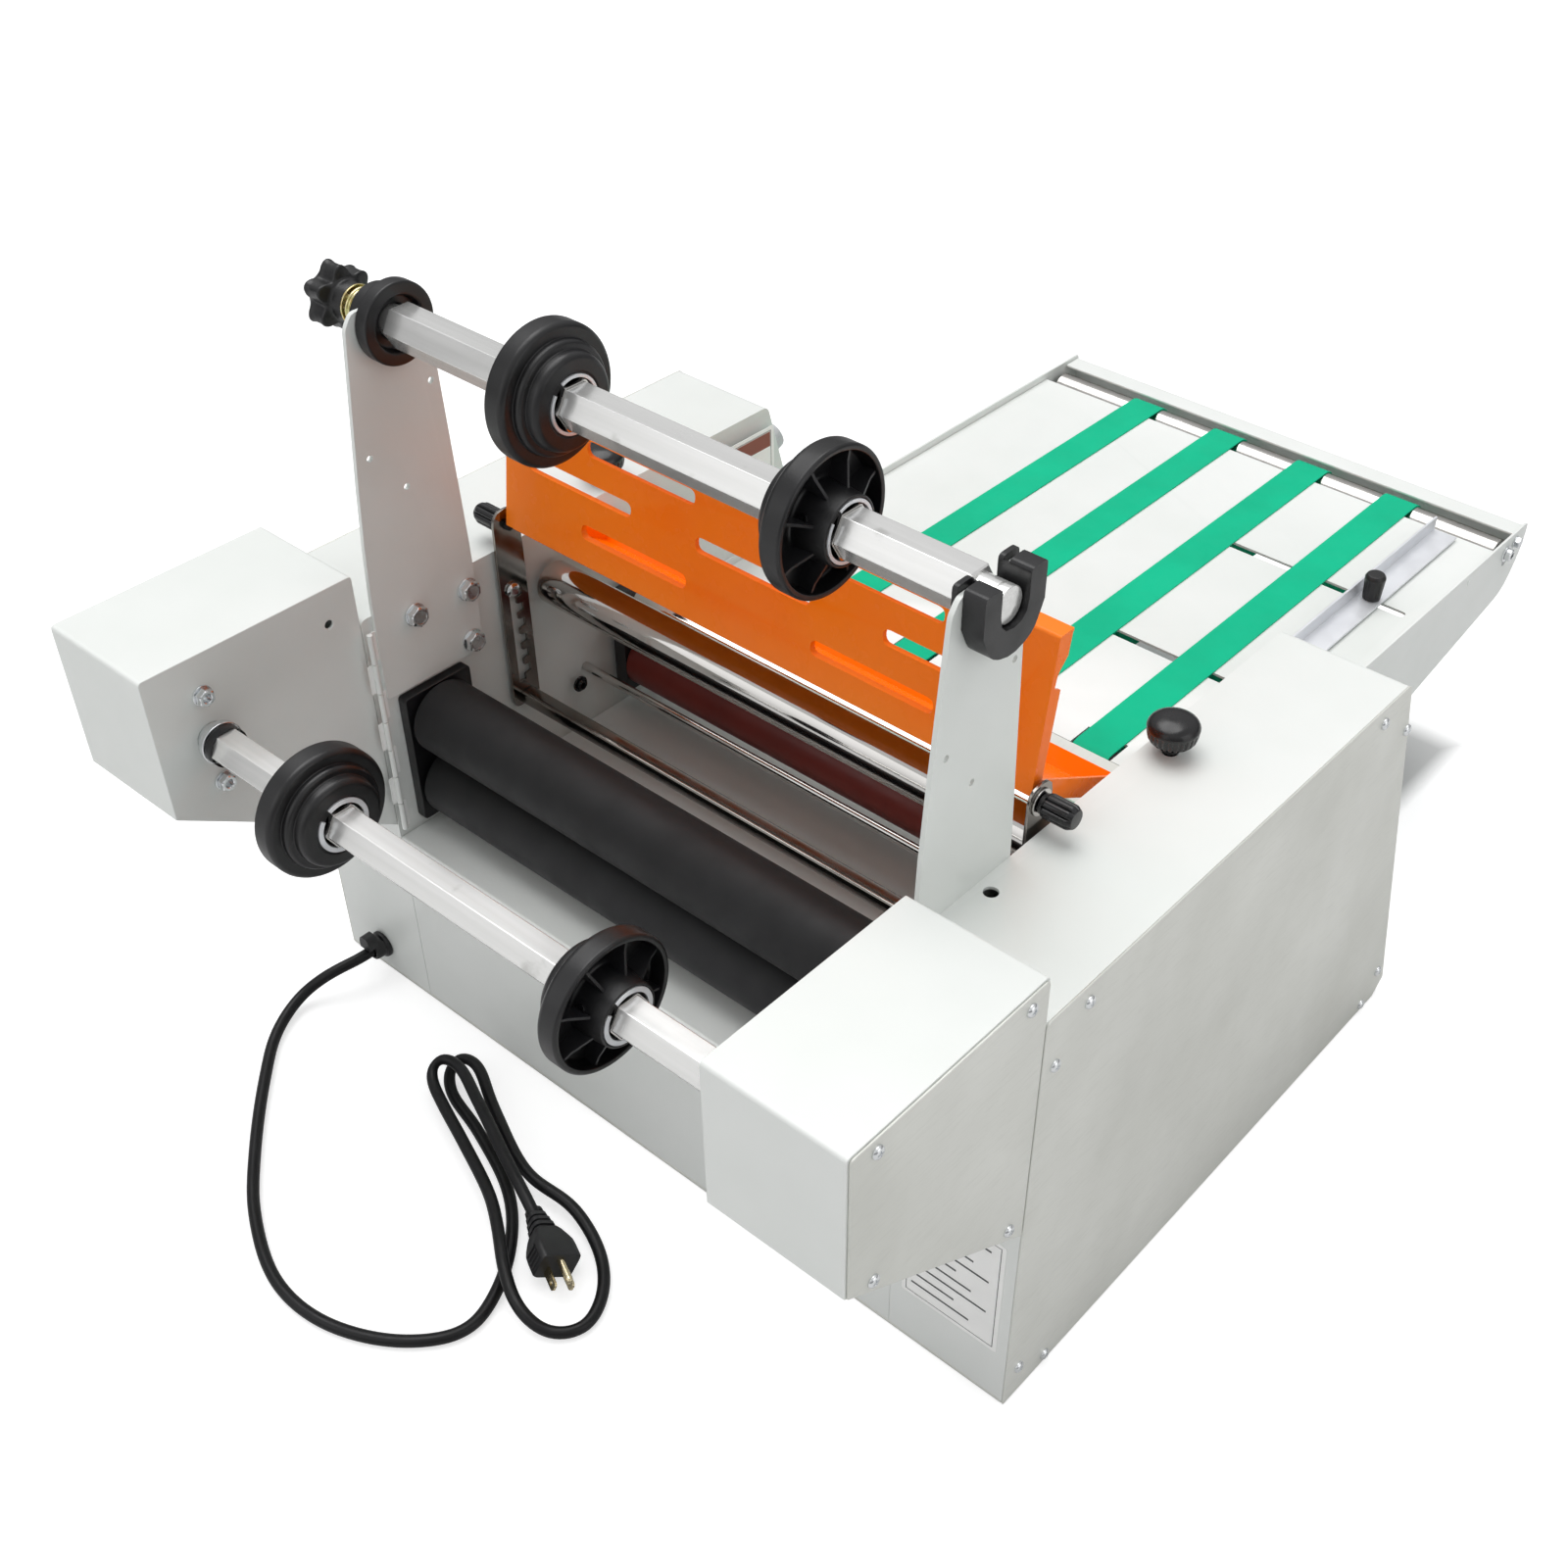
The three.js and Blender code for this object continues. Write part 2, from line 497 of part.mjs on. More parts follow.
function addPullRollers() {
  const shaftEnd = GEAR_X.to + 2;
  const pullRoller = (axis) => roller(PULL_RADIUS, axis, ROLLER_HALF, SHAFT_RADIUS, SHAFT_END, shaftEnd);
  add("pull_roller_upper", pullRoller(PULL_UPPER), blackRubber());
  add("pull_roller_lower", pullRoller(PULL_LOWER), blackRubber());

  const block = outline([[17, 164, 3], [72, 164, 3], [72, 265, 3], [17, 265, 3]]);
  const bores = [PULL_UPPER, PULL_LOWER].map((axis) => rodX(SHAFT_RADIUS + 0.3, [205, 230], axis));
  const plate = cut(prismX(block, [HALF_GAP - 8, HALF_GAP - REST_GAP]), ...bores);
  add("left_bearing_plate", mirrored(plate), blackPlastic());

  const mesh = (axis, phase) => cut(
    gearX(PULL_TEETH, [GEAR_X.from, GEAR_X.to], axis, phase),
    rodX(SHAFT_RADIUS + REST_GAP, [GEAR_X.from - 2, GEAR_X.to + 2], axis));
  const step = (2 * Math.PI) / PULL_TEETH;
  // The upper gear has a gap at its lowest point and the lower gear a tooth at its highest.
  add("pull_gear_upper", mesh(PULL_UPPER, -Math.PI / 2 + step / 2), steel());
  add("pull_gear_lower", mesh(PULL_LOWER, Math.PI / 2), steel());

  const reach = (GEAR_MODULE * (PULL_TEETH + PINION_TEETH)) / 2;
  const motor = {
    y: PULL_LOWER.y + reach * Math.cos(PINION_DIRECTION),
    z: PULL_LOWER.z + reach * Math.sin(PINION_DIRECTION),
  };
  // The pinion's gap lies on the line between the axes where the gear has a tooth.
  const toothStep = (2 * Math.PI) / PINION_TEETH;
  const gearTeethPast = (PINION_DIRECTION - Math.PI / 2) / step;
  const offTooth = gearTeethPast - Math.round(gearTeethPast);
  const pinionPhase = PINION_DIRECTION + Math.PI + toothStep * (0.5 + offTooth);
  const pinion = gearX(PINION_TEETH, [GEAR_X.from, GEAR_X.to], motor, pinionPhase);
  add("motor_pinion", cut(pinion, rodX(4.2, [220, 240], motor)), steel());

  const can = turnedX([
    [0, 225], [4, 225], [4, 235], [11, 235], [11, 238], [26, 238], [26, 300], [0, 300],
  ], motor);
  add("drive_motor", can, steel());
}

function addNipRollers() {
  add("nip_roller_upper", roller(NIP_RADIUS, NIP_UPPER, 204), chrome());
  add("nip_roller_lower", roller(NIP_RADIUS, NIP_LOWER, 202), redSilicone());
  const guideHalf = HALF_GAP - REST_GAP;
  add("film_guide_roller", rodX(GUIDE_ROLLER.radius, [-guideHalf, guideHalf], GUIDE_ROLLER, 24), chrome());
  add("guide_rod", rodX(GUIDE_ROD.radius, [-guideHalf, guideHalf], GUIDE_ROD, 12), chrome());
}

// ---------------------------------------------------------------- decurl bar and its arms
function addDecurlFrame() {
  const plate = outline([
    [ARM.front, ARM.bottom, 5], [ARM.rear, ARM.bottom, 5],
    [ARM.rear, 330], [ARM_MIDDLE_Y + 11, 345, 4], [ARM_MIDDLE_Y + 11, ARM.knobZ + 12, 10],
    [ARM_MIDDLE_Y - 11, ARM.knobZ + 12, 10], [ARM_MIDDLE_Y - 11, 345, 4], [ARM.front, 330],
  ]);
  // A straight slot with a row of notches along its rear edge.
  const notches = 6;
  const notchPitch = 12.5;
  const slotFront = ARM_MIDDLE_Y - 5;
  const slotRear = ARM_MIDDLE_Y + 1;
  const notchRear = ARM_MIDDLE_Y + 6;
  const slot = [[slotFront, 226], [slotRear, 226]];
  for (let i = 0; i < notches; i += 1) {
    const z = 230 + i * notchPitch;
    slot.push([slotRear, z], [notchRear, z + 1], [notchRear, z + 7], [slotRear, z + 8]);
  }
  slot.push([slotRear, 306], [slotFront, 306]);
  const span = [ARM.x, ARM.x + ARM.thickness];
  const across = [ARM.x - 5, ARM.x + 10];
  const opening = prismX(outline(slot), across);
  const pivot = rodX(3.3, across, { y: ARM_MIDDLE_Y, z: ARM.knobZ }, 16);
  const arm = cut(prismX(plate, span), opening, pivot);
  bothSides("left_decurl_arm", "right_decurl_arm", arm, nickel);

  const barHalf = ARM.x - REST_GAP;
  const [barFront, barRear] = [-1, 1].map((side) => ARM_MIDDLE_Y + (side * DECURL_BAR.depth) / 2);
  const [barBottom, barTop] = [-1, 1].map((side) => DECURL_BAR.z + (side * DECURL_BAR.height) / 2);
  const bar = outline([
    [barFront, barBottom, 2], [barRear, barBottom, 2], [barRear, barTop, 2], [barFront, barTop, 4],
  ]);
  add("decurl_bar", prismX(bar, [-barHalf, barHalf]), nickel());

  const axis = { y: ARM_MIDDLE_Y, z: ARM.knobZ };
  const knobFrom = ARM.x + ARM.thickness + RUNNING_GAP;
  const screwTip = ARM.x - 4;
  const knob = turnedX([
    [0, screwTip], [3, screwTip], [3, knobFrom], [8.6, knobFrom], [8.6, knobFrom + 1.4],
    [6.6, knobFrom + 2], [7.6, knobFrom + 5], [7.6, knobFrom + 21], [6, knobFrom + 24], [0, knobFrom + 24],
  ], axis);
  bothSides("left_thumb_knob", "right_thumb_knob", knob, blackPlastic);
}

// ---------------------------------------------------------------- orange roller guard
const guardFrontAt = (z) => GUARD.frontY + GUARD.lean * (z - GUARD.bottomZ);

// A long slot through the front plate, with its left end at xFrom and its middle at height z.
function guardSlot(xFrom, z) {
  const xTo = xFrom + 91;
  const radius = 5;
  const slot = outline([
    [xFrom, z - radius, radius], [xTo, z - radius, radius],
    [xTo, z + radius, radius], [xFrom, z + radius, radius],
  ]);
  // The outline lies in (x, z); turn it upright and push it through the front plate.
  const through = new THREE.ExtrudeGeometry(slot, { depth: 20, bevelEnabled: false, curveSegments: 4 });
  return through.rotateX(Math.PI / 2).translate(0, guardFrontAt(z) + 10, 0);
}

function addGuard() {
  const { half, thickness, bottomZ, topFlange, sideFlange } = GUARD;
  const top = bottomZ + GUARD.height;
  const bottomY = guardFrontAt(bottomZ);
  const topY = guardFrontAt(top);
  const floorEnd = { y: 200, z: 304 };
  const lipEnd = { y: 209, z: 311 };
  // The bent sheet: front plate, floor that falls to the rear, lip, and a flange along the top.
  const sheet = prismX(outline([
    [bottomY, bottomZ], [bottomY + 2, bottomZ - 3],
    [floorEnd.y, floorEnd.z - 2.5], [lipEnd.y + 1.5, lipEnd.z - 1],
    [lipEnd.y, lipEnd.z + 0.5], [floorEnd.y - 0.5, floorEnd.z],
    [bottomY + 5, bottomZ], [guardFrontAt(top - thickness) + thickness, top - thickness],
    [topY + topFlange, top - thickness], [topY + topFlange, top], [topY, top, 2],
  ]), [-half, half]);

  // Side flanges: a strip behind the front plate with a hook notch, and a web along the floor.
  const hookZ = 414;
  const hookY = guardFrontAt(hookZ);
  const strip = outline([
    [bottomY + 0.5, bottomZ], [bottomY + sideFlange, bottomZ + 3],
    [hookY + sideFlange + 1, hookZ], [hookY + 4, hookZ + 3, 2],
    [hookY + 6, hookZ + 12, 3], [hookY + sideFlange + 5, hookZ + 20],
    [topY + topFlange - 0.5, top - 1], [topY + 0.5, top - 1],
  ]);
  const web = outline([
    [bottomY + 2.5, bottomZ - 2], [floorEnd.y, floorEnd.z - 1.5],
    [lipEnd.y + 0.5, lipEnd.z], [bottomY + 8, bottomZ + 7],
  ]);
  const flanges = [-half, half - thickness].flatMap((x) => [
    prismX(strip, [x, x + thickness]), prismX(web, [x, x + thickness])]);

  const upperRow = [-138.5, 48];
  const middleRow = [-190.5, -45.5, 99.5];
  const lowerRow = [-142, 49];
  const slots = [
    ...upperRow.map((x) => guardSlot(x, bottomZ + 79)),
    ...middleRow.map((x) => guardSlot(x, bottomZ + 51.5)),
    ...lowerRow.map((x) => guardSlot(x, bottomZ + 23)),
  ];
  const pivotBore = rodX(3.4, [-230, 230], { y: ARM_MIDDLE_Y, z: ARM.knobZ }, 16);
  add("roller_guard", cut(join(sheet, ...flanges), ...slots, pivotBore), orangePaint());
}

// ---------------------------------------------------------------- infeed table
function addTable() {
  const wallFrom = HALF_GAP - SHEET;
  const half = wallFrom - REST_GAP;
  // The deck's front edge has a notch for each belt, where it turns down round the drive roller.
  const deckFrom = DRIVE_ROLLER.y - 6;
  const notchTo = DRIVE_ROLLER.y + DRIVE_ROLLER.radius + 4;
  const notchHalf = BELT.width / 2 + 2;
  const notches = BELT.offsets.flatMap((x) => [
    [x - notchHalf, deckFrom], [x - notchHalf, notchTo], [x + notchHalf, notchTo], [x + notchHalf, deckFrom],
  ]);
  const deckTo = END_ROLLER.y - END_ROLLER.radius - 3;
  const deck = polygon([[-half, deckFrom], ...notches, [half, deckFrom], [half, deckTo], [-half, deckTo]]);
  const [slotFrom, slotTo, slotRadius] = [51, 206, 4];
  for (const y of SLOT_Y) {
    deck.holes.push(outline([
      [slotFrom, y - slotRadius, slotRadius], [slotTo, y - slotRadius, slotRadius],
      [slotTo, y + slotRadius, slotRadius], [slotFrom, y + slotRadius, slotRadius],
    ]));
  }
  add("table_deck", prismZ(deck, [TABLE_TOP - SHEET, TABLE_TOP]), whitePaint());

  const wall = outline([
    [TABLE_FRONT - 6, 190], [DECK_DEPTH + 20, 158], [CABINET_DEPTH_BASE, 110], [777, 167.6, 14],
    [TABLE_END, 200, 12], [TABLE_END, 223, 4], [TABLE_FRONT - 6, 223],
  ]);
  const across = [wallFrom - 5, HALF_GAP + 5];
  const axleBores = [END_ROLLER, DRIVE_ROLLER].map((axis) => rodX(TABLE_AXLE_BORE, across, axis));
  const boredWall = cut(prismX(wall, [wallFrom, HALF_GAP]), ...axleBores);
  bothSides("table_wall_left", "table_wall_right", boredWall, whitePaint);

  // The end bar is an angle: its top reaches over the end roller and its leg hangs behind it.
  const [barFront, barRear, barTop, barFoot] = [TABLE_END - 20, TABLE_END - 1, 220, 180];
  const bar = outline([
    [barFront, barTop, 0.8], [barFront, barTop - SHEET], [barRear - SHEET, barTop - SHEET],
    [barRear - SHEET, barFoot], [barRear, barFoot], [barRear, barTop, 2],
  ]);
  add("table_end_bar", prismX(bar, [-half, half]), whitePaint());

  // The plate between the nip and the belts, with its rear edge feathered over them.
  const infeedRear = DRIVE_ROLLER.y - 6.8;
  const infeed = polygon([
    [TABLE_FRONT, 216], [TABLE_FRONT + 8, 214.5], [infeedRear - 3, 215], [infeedRear, 217.4],
    [TABLE_FRONT + 8, 216.5],
  ]);
  add("infeed_plate", prismX(infeed, [-half, half]), galvanised());

  const rollerHalf = half - 5;
  const endAxleEnd = HALF_GAP - REST_GAP;
  add("table_end_roller", roller(
    END_ROLLER.radius, END_ROLLER, rollerHalf, TABLE_AXLE_RADIUS, endAxleEnd, endAxleEnd), aluminium());

  // The drive roller is a tube under the deck with a raised sleeve for each belt; its axle ends
  // in the bores of the cabinets' inner walls.
  const sleeves = BELT.offsets.flatMap((x) => [
    [DRIVE_ROLLER.tube, x - SLEEVE_HALF], [DRIVE_ROLLER.radius, x - SLEEVE_HALF],
    [DRIVE_ROLLER.radius, x + SLEEVE_HALF], [DRIVE_ROLLER.tube, x + SLEEVE_HALF],
  ]);
  add("table_drive_roller", turnedX([
    [0, -SHAFT_END], [TABLE_AXLE_RADIUS, -SHAFT_END], [TABLE_AXLE_RADIUS, -rollerHalf],
    [DRIVE_ROLLER.tube, -rollerHalf], ...sleeves, [DRIVE_ROLLER.tube, rollerHalf],
    [TABLE_AXLE_RADIUS, rollerHalf], [TABLE_AXLE_RADIUS, SHAFT_END], [0, SHAFT_END],
  ], DRIVE_ROLLER), blackRubber());
}

// The outline of a flat loop around the two table rollers, at a distance from them.
function beltLoop(gap) {
  const shape = new THREE.Shape();
  shape.absarc(END_ROLLER.y, END_ROLLER.z, END_ROLLER.radius + gap, -Math.PI / 2, Math.PI / 2);
  shape.absarc(DRIVE_ROLLER.y, DRIVE_ROLLER.z, DRIVE_ROLLER.radius + gap, Math.PI / 2, (3 * Math.PI) / 2);
  shape.closePath();
  return shape;
}

function addBelts() {
  const loop = beltLoop(RUNNING_GAP + BELT.thickness);
  loop.holes.push(beltLoop(RUNNING_GAP));
  BELT.offsets.forEach((x, i) => {
    const span = [x - BELT.width / 2, x + BELT.width / 2];
    add(`feed_belt_${i + 1}`, prismX(loop, span, 6), greenBelt());
  });
}

function addSideGuide() {
  const x = 165;
  const [foot, height, length, rearEnd] = [21, 13, 309, 739];
  const top = END_ROLLER.z + END_ROLLER.radius + RUNNING_GAP + BELT.thickness + REST_GAP;
  const angle = polygon([
    [x, top], [x + foot, top], [x + foot, top + 1.8],
    [x + 1.8, top + 1.8], [x + 1.8, top + height], [x, top + height],
  ]);
  const rail = new THREE.ExtrudeGeometry(angle, { depth: length, bevelEnabled: false }).rotateX(Math.PI / 2);
  rail.translate(0, rearEnd, 0);
  const bores = SLOT_Y.map((y) => rodZ(3, [top - 5, top + 5], { x: x + 12, y }, 12));
  add("side_guide", cut(rail, ...bores), aluminium());

  const knob = turnedZ([
    [0, -14], [2.4, -14], [2.4, 2.2], [6.9, 2.2], [7.9, 19], [7.9, 20.8], [6.2, 23], [0, 23],
  ], { x: x + 12, y: SLOT_Y[1], z: top }, 20);
  add("side_guide_knob", knob, blackPlastic());
}

// ---------------------------------------------------------------- knobs, switch and cord
function addControls() {
  const { radius, height } = PRESSURE_KNOB;
  const knob = turnedZ([
    [0, -40], [4, -40], [4, 0.5], [5.5, 0.5], [6, 7.5], [11.5, 8.8], [radius - 0.4, 12], [radius, 18.5],
    [radius - 2.5, height - 2], [8, height + 0.5], [0, height + 1.5],
  ], { ...PRESSURE_KNOB, z: CABINET_TOP }, 20);
  bothSides("left_pressure_knob", "right_pressure_knob", knob, blackPlastic);

  const dial = turnedY([[0, -10], [4, -10], [4, 0.4], [13, 0.4], [13, 4], [11, 15], [10, 16], [0, 16]]);
  add("speed_dial", onSlantedBack(dial, DIAL), greyPlastic());

  const rocker = prismX(outline([[-8, -10], [4, -10, 2], [1.5, 0], [4, 10, 2], [-8, 10]]), [-8, 8]);
  add("power_switch", onSlantedBack(rocker, SWITCH), blackPlastic());
}

function addPowerCord() {
  // The cord leaves the cabinet's front and lies in a flat coil; `floor` is the height of its
  // middle on the bench and `over` its height where it crosses itself.
  const floor = CORD_RADIUS + 0.2;
  const over = floor + 2 * CORD_RADIUS + 1;
  const points = [
    [CORD_EXIT.x, 12, CORD_EXIT.z], [CORD_EXIT.x, -2, CORD_EXIT.z], [CORD_EXIT.x, -22, CORD_EXIT.z],
    [-276, -44, 20], [-284, -66, 9], [-272, -98, floor], [-241, -132, floor],
    [-190, -178, floor], [-148, -209, floor], [-92, -233, floor], [-44, -232, floor], [3, -209, floor],
    [26, -178, floor], [18, -146, floor], [-6, -112, floor], [-36, -88, floor],
    [-92, -66, floor], [-138, -52, floor],
    [-150, -36, over - 3], [-136, -30, over], [-92, -50, over], [-30, -74, over], [10, -72, over - 3],
    [48, -84, floor], [72, -106, floor], [80, -130, floor], [66, -147, floor + 1], [44, -150, over],
    [18, -138, over + 4], [-8, -120, over + 4], [-34, -104, over + 2], [-84, -84, over],
    [-128, -68, over], [-146, -60, over + 4], [-150, -50, over + 9], [-138, -44, over + 9],
    [-98, -58, over + 10], [-44, -80, over + 10], [-12, -92, over + 8], [8, -99, over + 2],
  ].map((point) => new THREE.Vector3(...point));
  const path = new THREE.CatmullRomCurve3(points, false, "centripetal");
  add("power_cord", wireAlong(path, CORD_RADIUS, 120, 6), cordRubber());

  // A moulded plug with two flat blades and a round earth pin, lying on its side.
  const body = outline([
    [0, -8], [9, -9], [16, -14, 3], [34, -14, 2], [34, 14, 2], [16, 14, 3], [9, 9], [0, 8],
  ]);
  const shell = prismZ(body, [-10, 10]);
  const bladeAt = 6.35; // half the spacing of the two blades
  const blades = [-bladeAt, bladeAt].map((y) => box([33, 50], [y - 0.8, y + 0.8], [-6.5, 0]));
  const earth = new THREE.CylinderGeometry(2.4, 2.4, 20, 12).rotateZ(Math.PI / 2).translate(43, 0, 6);
  const plug = join(shell, ...blades, earth);
  plug.rotateX(-0.5).rotateZ(-0.42).translate(9, -99.5, over + 2);
  add("cord_plug", plug, blackPlastic());

  const bore = CORD_RADIUS + 0.8;
  const relief = turnedY([[bore, -12], [6.5, -12], [9, -3], [9, -0.3], [bore, -0.3], [bore, -12]], 20);
  add("strain_relief", relief.translate(CORD_EXIT.x, 0, CORD_EXIT.z), blackPlastic());
}

addBase();
addCabinets();
addRewindBoxes();
addFilmBrackets();
addShaftSupports();
addFilmShaft();
addBrake();
addChucks();
addRewindShaft();
addPullRollers();
addNipRollers();
addDecurlFrame();
addGuard();
addTable();
addBelts();
addSideGuide();
addControls();
addPowerCord();

machine.position.y = -BASE_MIDDLE_Y;

export default machine;
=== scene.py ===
"""Looks of the roll laminator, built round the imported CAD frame.

Lengths in tables and profiles are millimetres and become metres in `rounded` and `at`. The CAD
frame gives every place: hinge points come from the joints, and faces from the nodes' boxes.
"""
import json
from math import cos, pi, radians, sin, sqrt

import bmesh
import bpy
from mathutils import Matrix, Vector

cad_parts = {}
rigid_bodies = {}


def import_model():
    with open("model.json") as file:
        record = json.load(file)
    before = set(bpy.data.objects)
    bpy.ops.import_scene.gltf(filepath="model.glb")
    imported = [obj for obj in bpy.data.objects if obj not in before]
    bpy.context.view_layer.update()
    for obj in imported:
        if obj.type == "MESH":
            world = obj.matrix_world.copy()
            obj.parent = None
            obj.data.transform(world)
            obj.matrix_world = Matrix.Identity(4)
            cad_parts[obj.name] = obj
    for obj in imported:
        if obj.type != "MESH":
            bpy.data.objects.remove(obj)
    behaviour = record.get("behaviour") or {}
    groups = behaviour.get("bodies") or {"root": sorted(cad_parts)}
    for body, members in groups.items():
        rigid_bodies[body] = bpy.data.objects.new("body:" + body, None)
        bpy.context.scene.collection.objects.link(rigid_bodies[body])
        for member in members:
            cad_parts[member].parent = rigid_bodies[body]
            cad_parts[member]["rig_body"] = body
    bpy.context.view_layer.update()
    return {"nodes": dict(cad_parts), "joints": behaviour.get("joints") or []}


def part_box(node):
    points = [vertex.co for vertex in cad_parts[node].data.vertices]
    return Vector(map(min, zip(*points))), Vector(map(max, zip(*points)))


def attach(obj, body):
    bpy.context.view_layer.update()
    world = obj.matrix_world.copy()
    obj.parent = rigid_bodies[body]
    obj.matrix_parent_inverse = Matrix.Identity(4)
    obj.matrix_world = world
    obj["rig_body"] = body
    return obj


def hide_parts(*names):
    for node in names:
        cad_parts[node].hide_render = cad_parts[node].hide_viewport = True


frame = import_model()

MM = 0.001
X, Y, Z = Vector((1, 0, 0)), Vector((0, 1, 0)), Vector((0, 0, 1))
FULL_TURN = 2 * pi
SIDES = ("left", -1), ("right", 1)


# --- places taken from the frame
def hinge_point(joint):
    return Vector(next(j["pos_m"] for j in frame["joints"] if j["name"] == joint))


def at(x, y, z):
    """A point given in millimetres."""
    return Vector((x, y, z)) * MM


def axis_x(point):
    """The point of an axis along X that lies in the middle plane."""
    return Vector((0, point.y, point.z))


def stem_of(node, z):
    """The point at height z under the middle of an upright knob."""
    low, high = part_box(node)
    return Vector(((low.x + high.x) / 2, (low.y + high.y) / 2, z))


def slanted_back():
    """The directions outward from the cabinets' slanted backs, across them and up along them."""
    axis = next(j["axis"] for j in frame["joints"] if j["name"] == "speed_dial_turn")
    outward = Vector(axis).normalized()
    return outward, *cross_axes(outward)


def round_node(node):
    """The axis of a node that is round about X, and its ends and radius in millimetres."""
    low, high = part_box(node)
    return axis_x((low + high) / 2), low.x / MM, high.x / MM, (high.z - low.z) / MM / 2


FILM = hinge_point("film_shaft_spin")
REWIND = hinge_point("rewind_spin")
THUMB = hinge_point("right_thumb_knob_turn")
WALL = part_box("right_cabinet")[0].x  # inner wall of each cabinet, right and left of the middle
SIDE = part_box("right_side_plate")[1].x  # outside of each side plate
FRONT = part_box("right_cabinet")[0].y  # front faces of the cabinets


# --- shapes
def rounded(points, radius=0.0, closed=False, steps=3):
    """An outline or profile in millimetres with its corners rounded, as points in metres.

    A point is (u, v) or (u, v, its own corner radius). The ends of an open one stay sharp.
    """
    made = []
    for i, point in enumerate(points):
        here = Vector(point[:2])
        before = Vector(points[i - 1][:2]) - here
        after = Vector(points[(i + 1) % len(points)][:2]) - here
        reach = point[2] if len(point) > 2 else radius
        reach = min(reach, before.length * 0.45, after.length * 0.45)
        if reach < 0.01 or (not closed and i in (0, len(points) - 1)):
            made.append(here * MM)
            continue
        start, end = here + before.normalized() * reach, here + after.normalized() * reach
        for k in range(steps + 1):
            t = k / steps
            made.append(((1 - t) ** 2 * start + 2 * t * (1 - t) * here + t * t * end) * MM)
    return made


def rectangle(left, bottom, right, top, radius=0.0, steps=3):
    """A closed outline in metres from sides in millimetres."""
    corners = [(left, bottom), (right, bottom), (right, top), (left, top)]
    return rounded(corners, radius, True, steps)


def loft(bm, rings, closed=False):
    """A skin over rings of points; a ring of one point is a tip, and open ends get a face."""
    loops = [[bm.verts.new(p) for p in ring] for ring in rings]
    pairs = list(zip(loops, loops[1:]))
    if closed:
        pairs.append((loops[-1], loops[0]))
    for near, far in pairs:
        count = max(len(near), len(far))
        for i in range(count):
            j = (i + 1) % count
            corners = [near[i % len(near)], near[j % len(near)], far[j % len(far)], far[i % len(far)]]
            bm.faces.new(list(dict.fromkeys(corners)))
    for loop in (loops[0], loops[-1]):
        if not closed and len(loop) > 2:
            bm.faces.new(loop)


def cross_axes(along):
    """Two directions across `along`, the first one as near to +Y or +X as it can be."""
    along = Vector(along).normalized()
    start = Y if abs(along.x) > 0.7 else X
    across = (start - along * along.dot(start)).normalized()
    return across, along.cross(across)


def lathe(bm, profile, centre, along, segments=64, closed=False, shape=None):
    """Turns [(radius, distance)] round the line through centre; shape(r, d, angle) bends the radius."""
    across, up = cross_axes(along)
    rings = []
    for radius, distance in profile:
        middle = centre + Vector(along) * distance
        if radius < 1e-7:
            rings.append([middle])
            continue
        ring = []
        for i in range(segments):
            angle = FULL_TURN * i / segments
            r = shape(radius, distance, angle) if shape else radius
            ring.append(middle + r * (cos(angle) * across + sin(angle) * up))
        rings.append(ring)
    loft(bm, rings, closed)


def rod(bm, radius, start, end, centre, along, edge=0.5, segments=64):
    """A round bar in millimetres along an axis, with broken edges."""
    profile = rounded([(0, start), (radius, start), (radius, end), (0, end)], edge)
    lathe(bm, profile, centre, along, segments)


def ring(bm, inner, outer, start, end, centre, along, edge=0.4, segments=64):
    """A washer or sleeve in millimetres along an axis."""
    corners = [(inner, start), (outer, start), (outer, end), (inner, end)]
    lathe(bm, rounded(corners, edge, closed=True), centre, along, segments, closed=True)


def break_edges(bm, edges, width, **options):
    """Rounds the sharp ones among the edges by a width in millimetres."""
    sharp = [e for e in edges if e.is_manifold and e.calc_face_angle(0) > radians(50)]
    bmesh.ops.bevel(bm, geom=sharp, offset=width * MM, segments=2, profile=0.7, affect="EDGES", **options)


def prism(bm, outline, place, across, up, depth, edge=0.0):
    """Pushes an outline in metres along across x up by depth millimetres, and breaks its edges."""
    across, up = Vector(across), Vector(up)
    flat = [place + across * u + up * v for u, v in outline]
    push = across.cross(up) * depth * MM
    first = len(bm.edges)
    loft(bm, [flat, [p + push for p in flat]])
    if edge:
        bm.edges.ensure_lookup_table()
        made = [bm.edges[i] for i in range(first, len(bm.edges))]
        break_edges(bm, made, edge)


def block(bm, low, high, edge=0.4):
    """A box between two corners in metres, with broken edges."""
    size = (high - low) / MM
    outline = rounded([(0, 0), (size.x, 0), (size.x, size.y), (0, size.y)])
    prism(bm, outline, low, X, Y, size.z, edge)


def tube(bm, path, radius, sides=16):
    """A round wire in metres along a list of points."""
    rings = []
    across = None
    for i, here in enumerate(path):
        along = (path[min(i + 1, len(path) - 1)] - path[max(i - 1, 0)]).normalized()
        across = along.orthogonal() if across is None else across - along * along.dot(across)
        across.normalize()
        up = along.cross(across)
        angles = [FULL_TURN * k / sides for k in range(sides)]
        rings.append([here + radius * (cos(a) * across + sin(a) * up) for a in angles])
    loft(bm, rings)


def hexagon(across_flats):
    """The corners of a hexagon in millimetres, with flats up and down."""
    corner = across_flats / sqrt(3)
    return [(corner * cos(i * pi / 3), corner * sin(i * pi / 3)) for i in range(6)]


def hex_radius(flat_radius, angle):
    """Distance to the side of a hexagon in a direction."""
    sixth = pi / 3
    return flat_radius / cos((angle + sixth / 2) % sixth - sixth / 2)


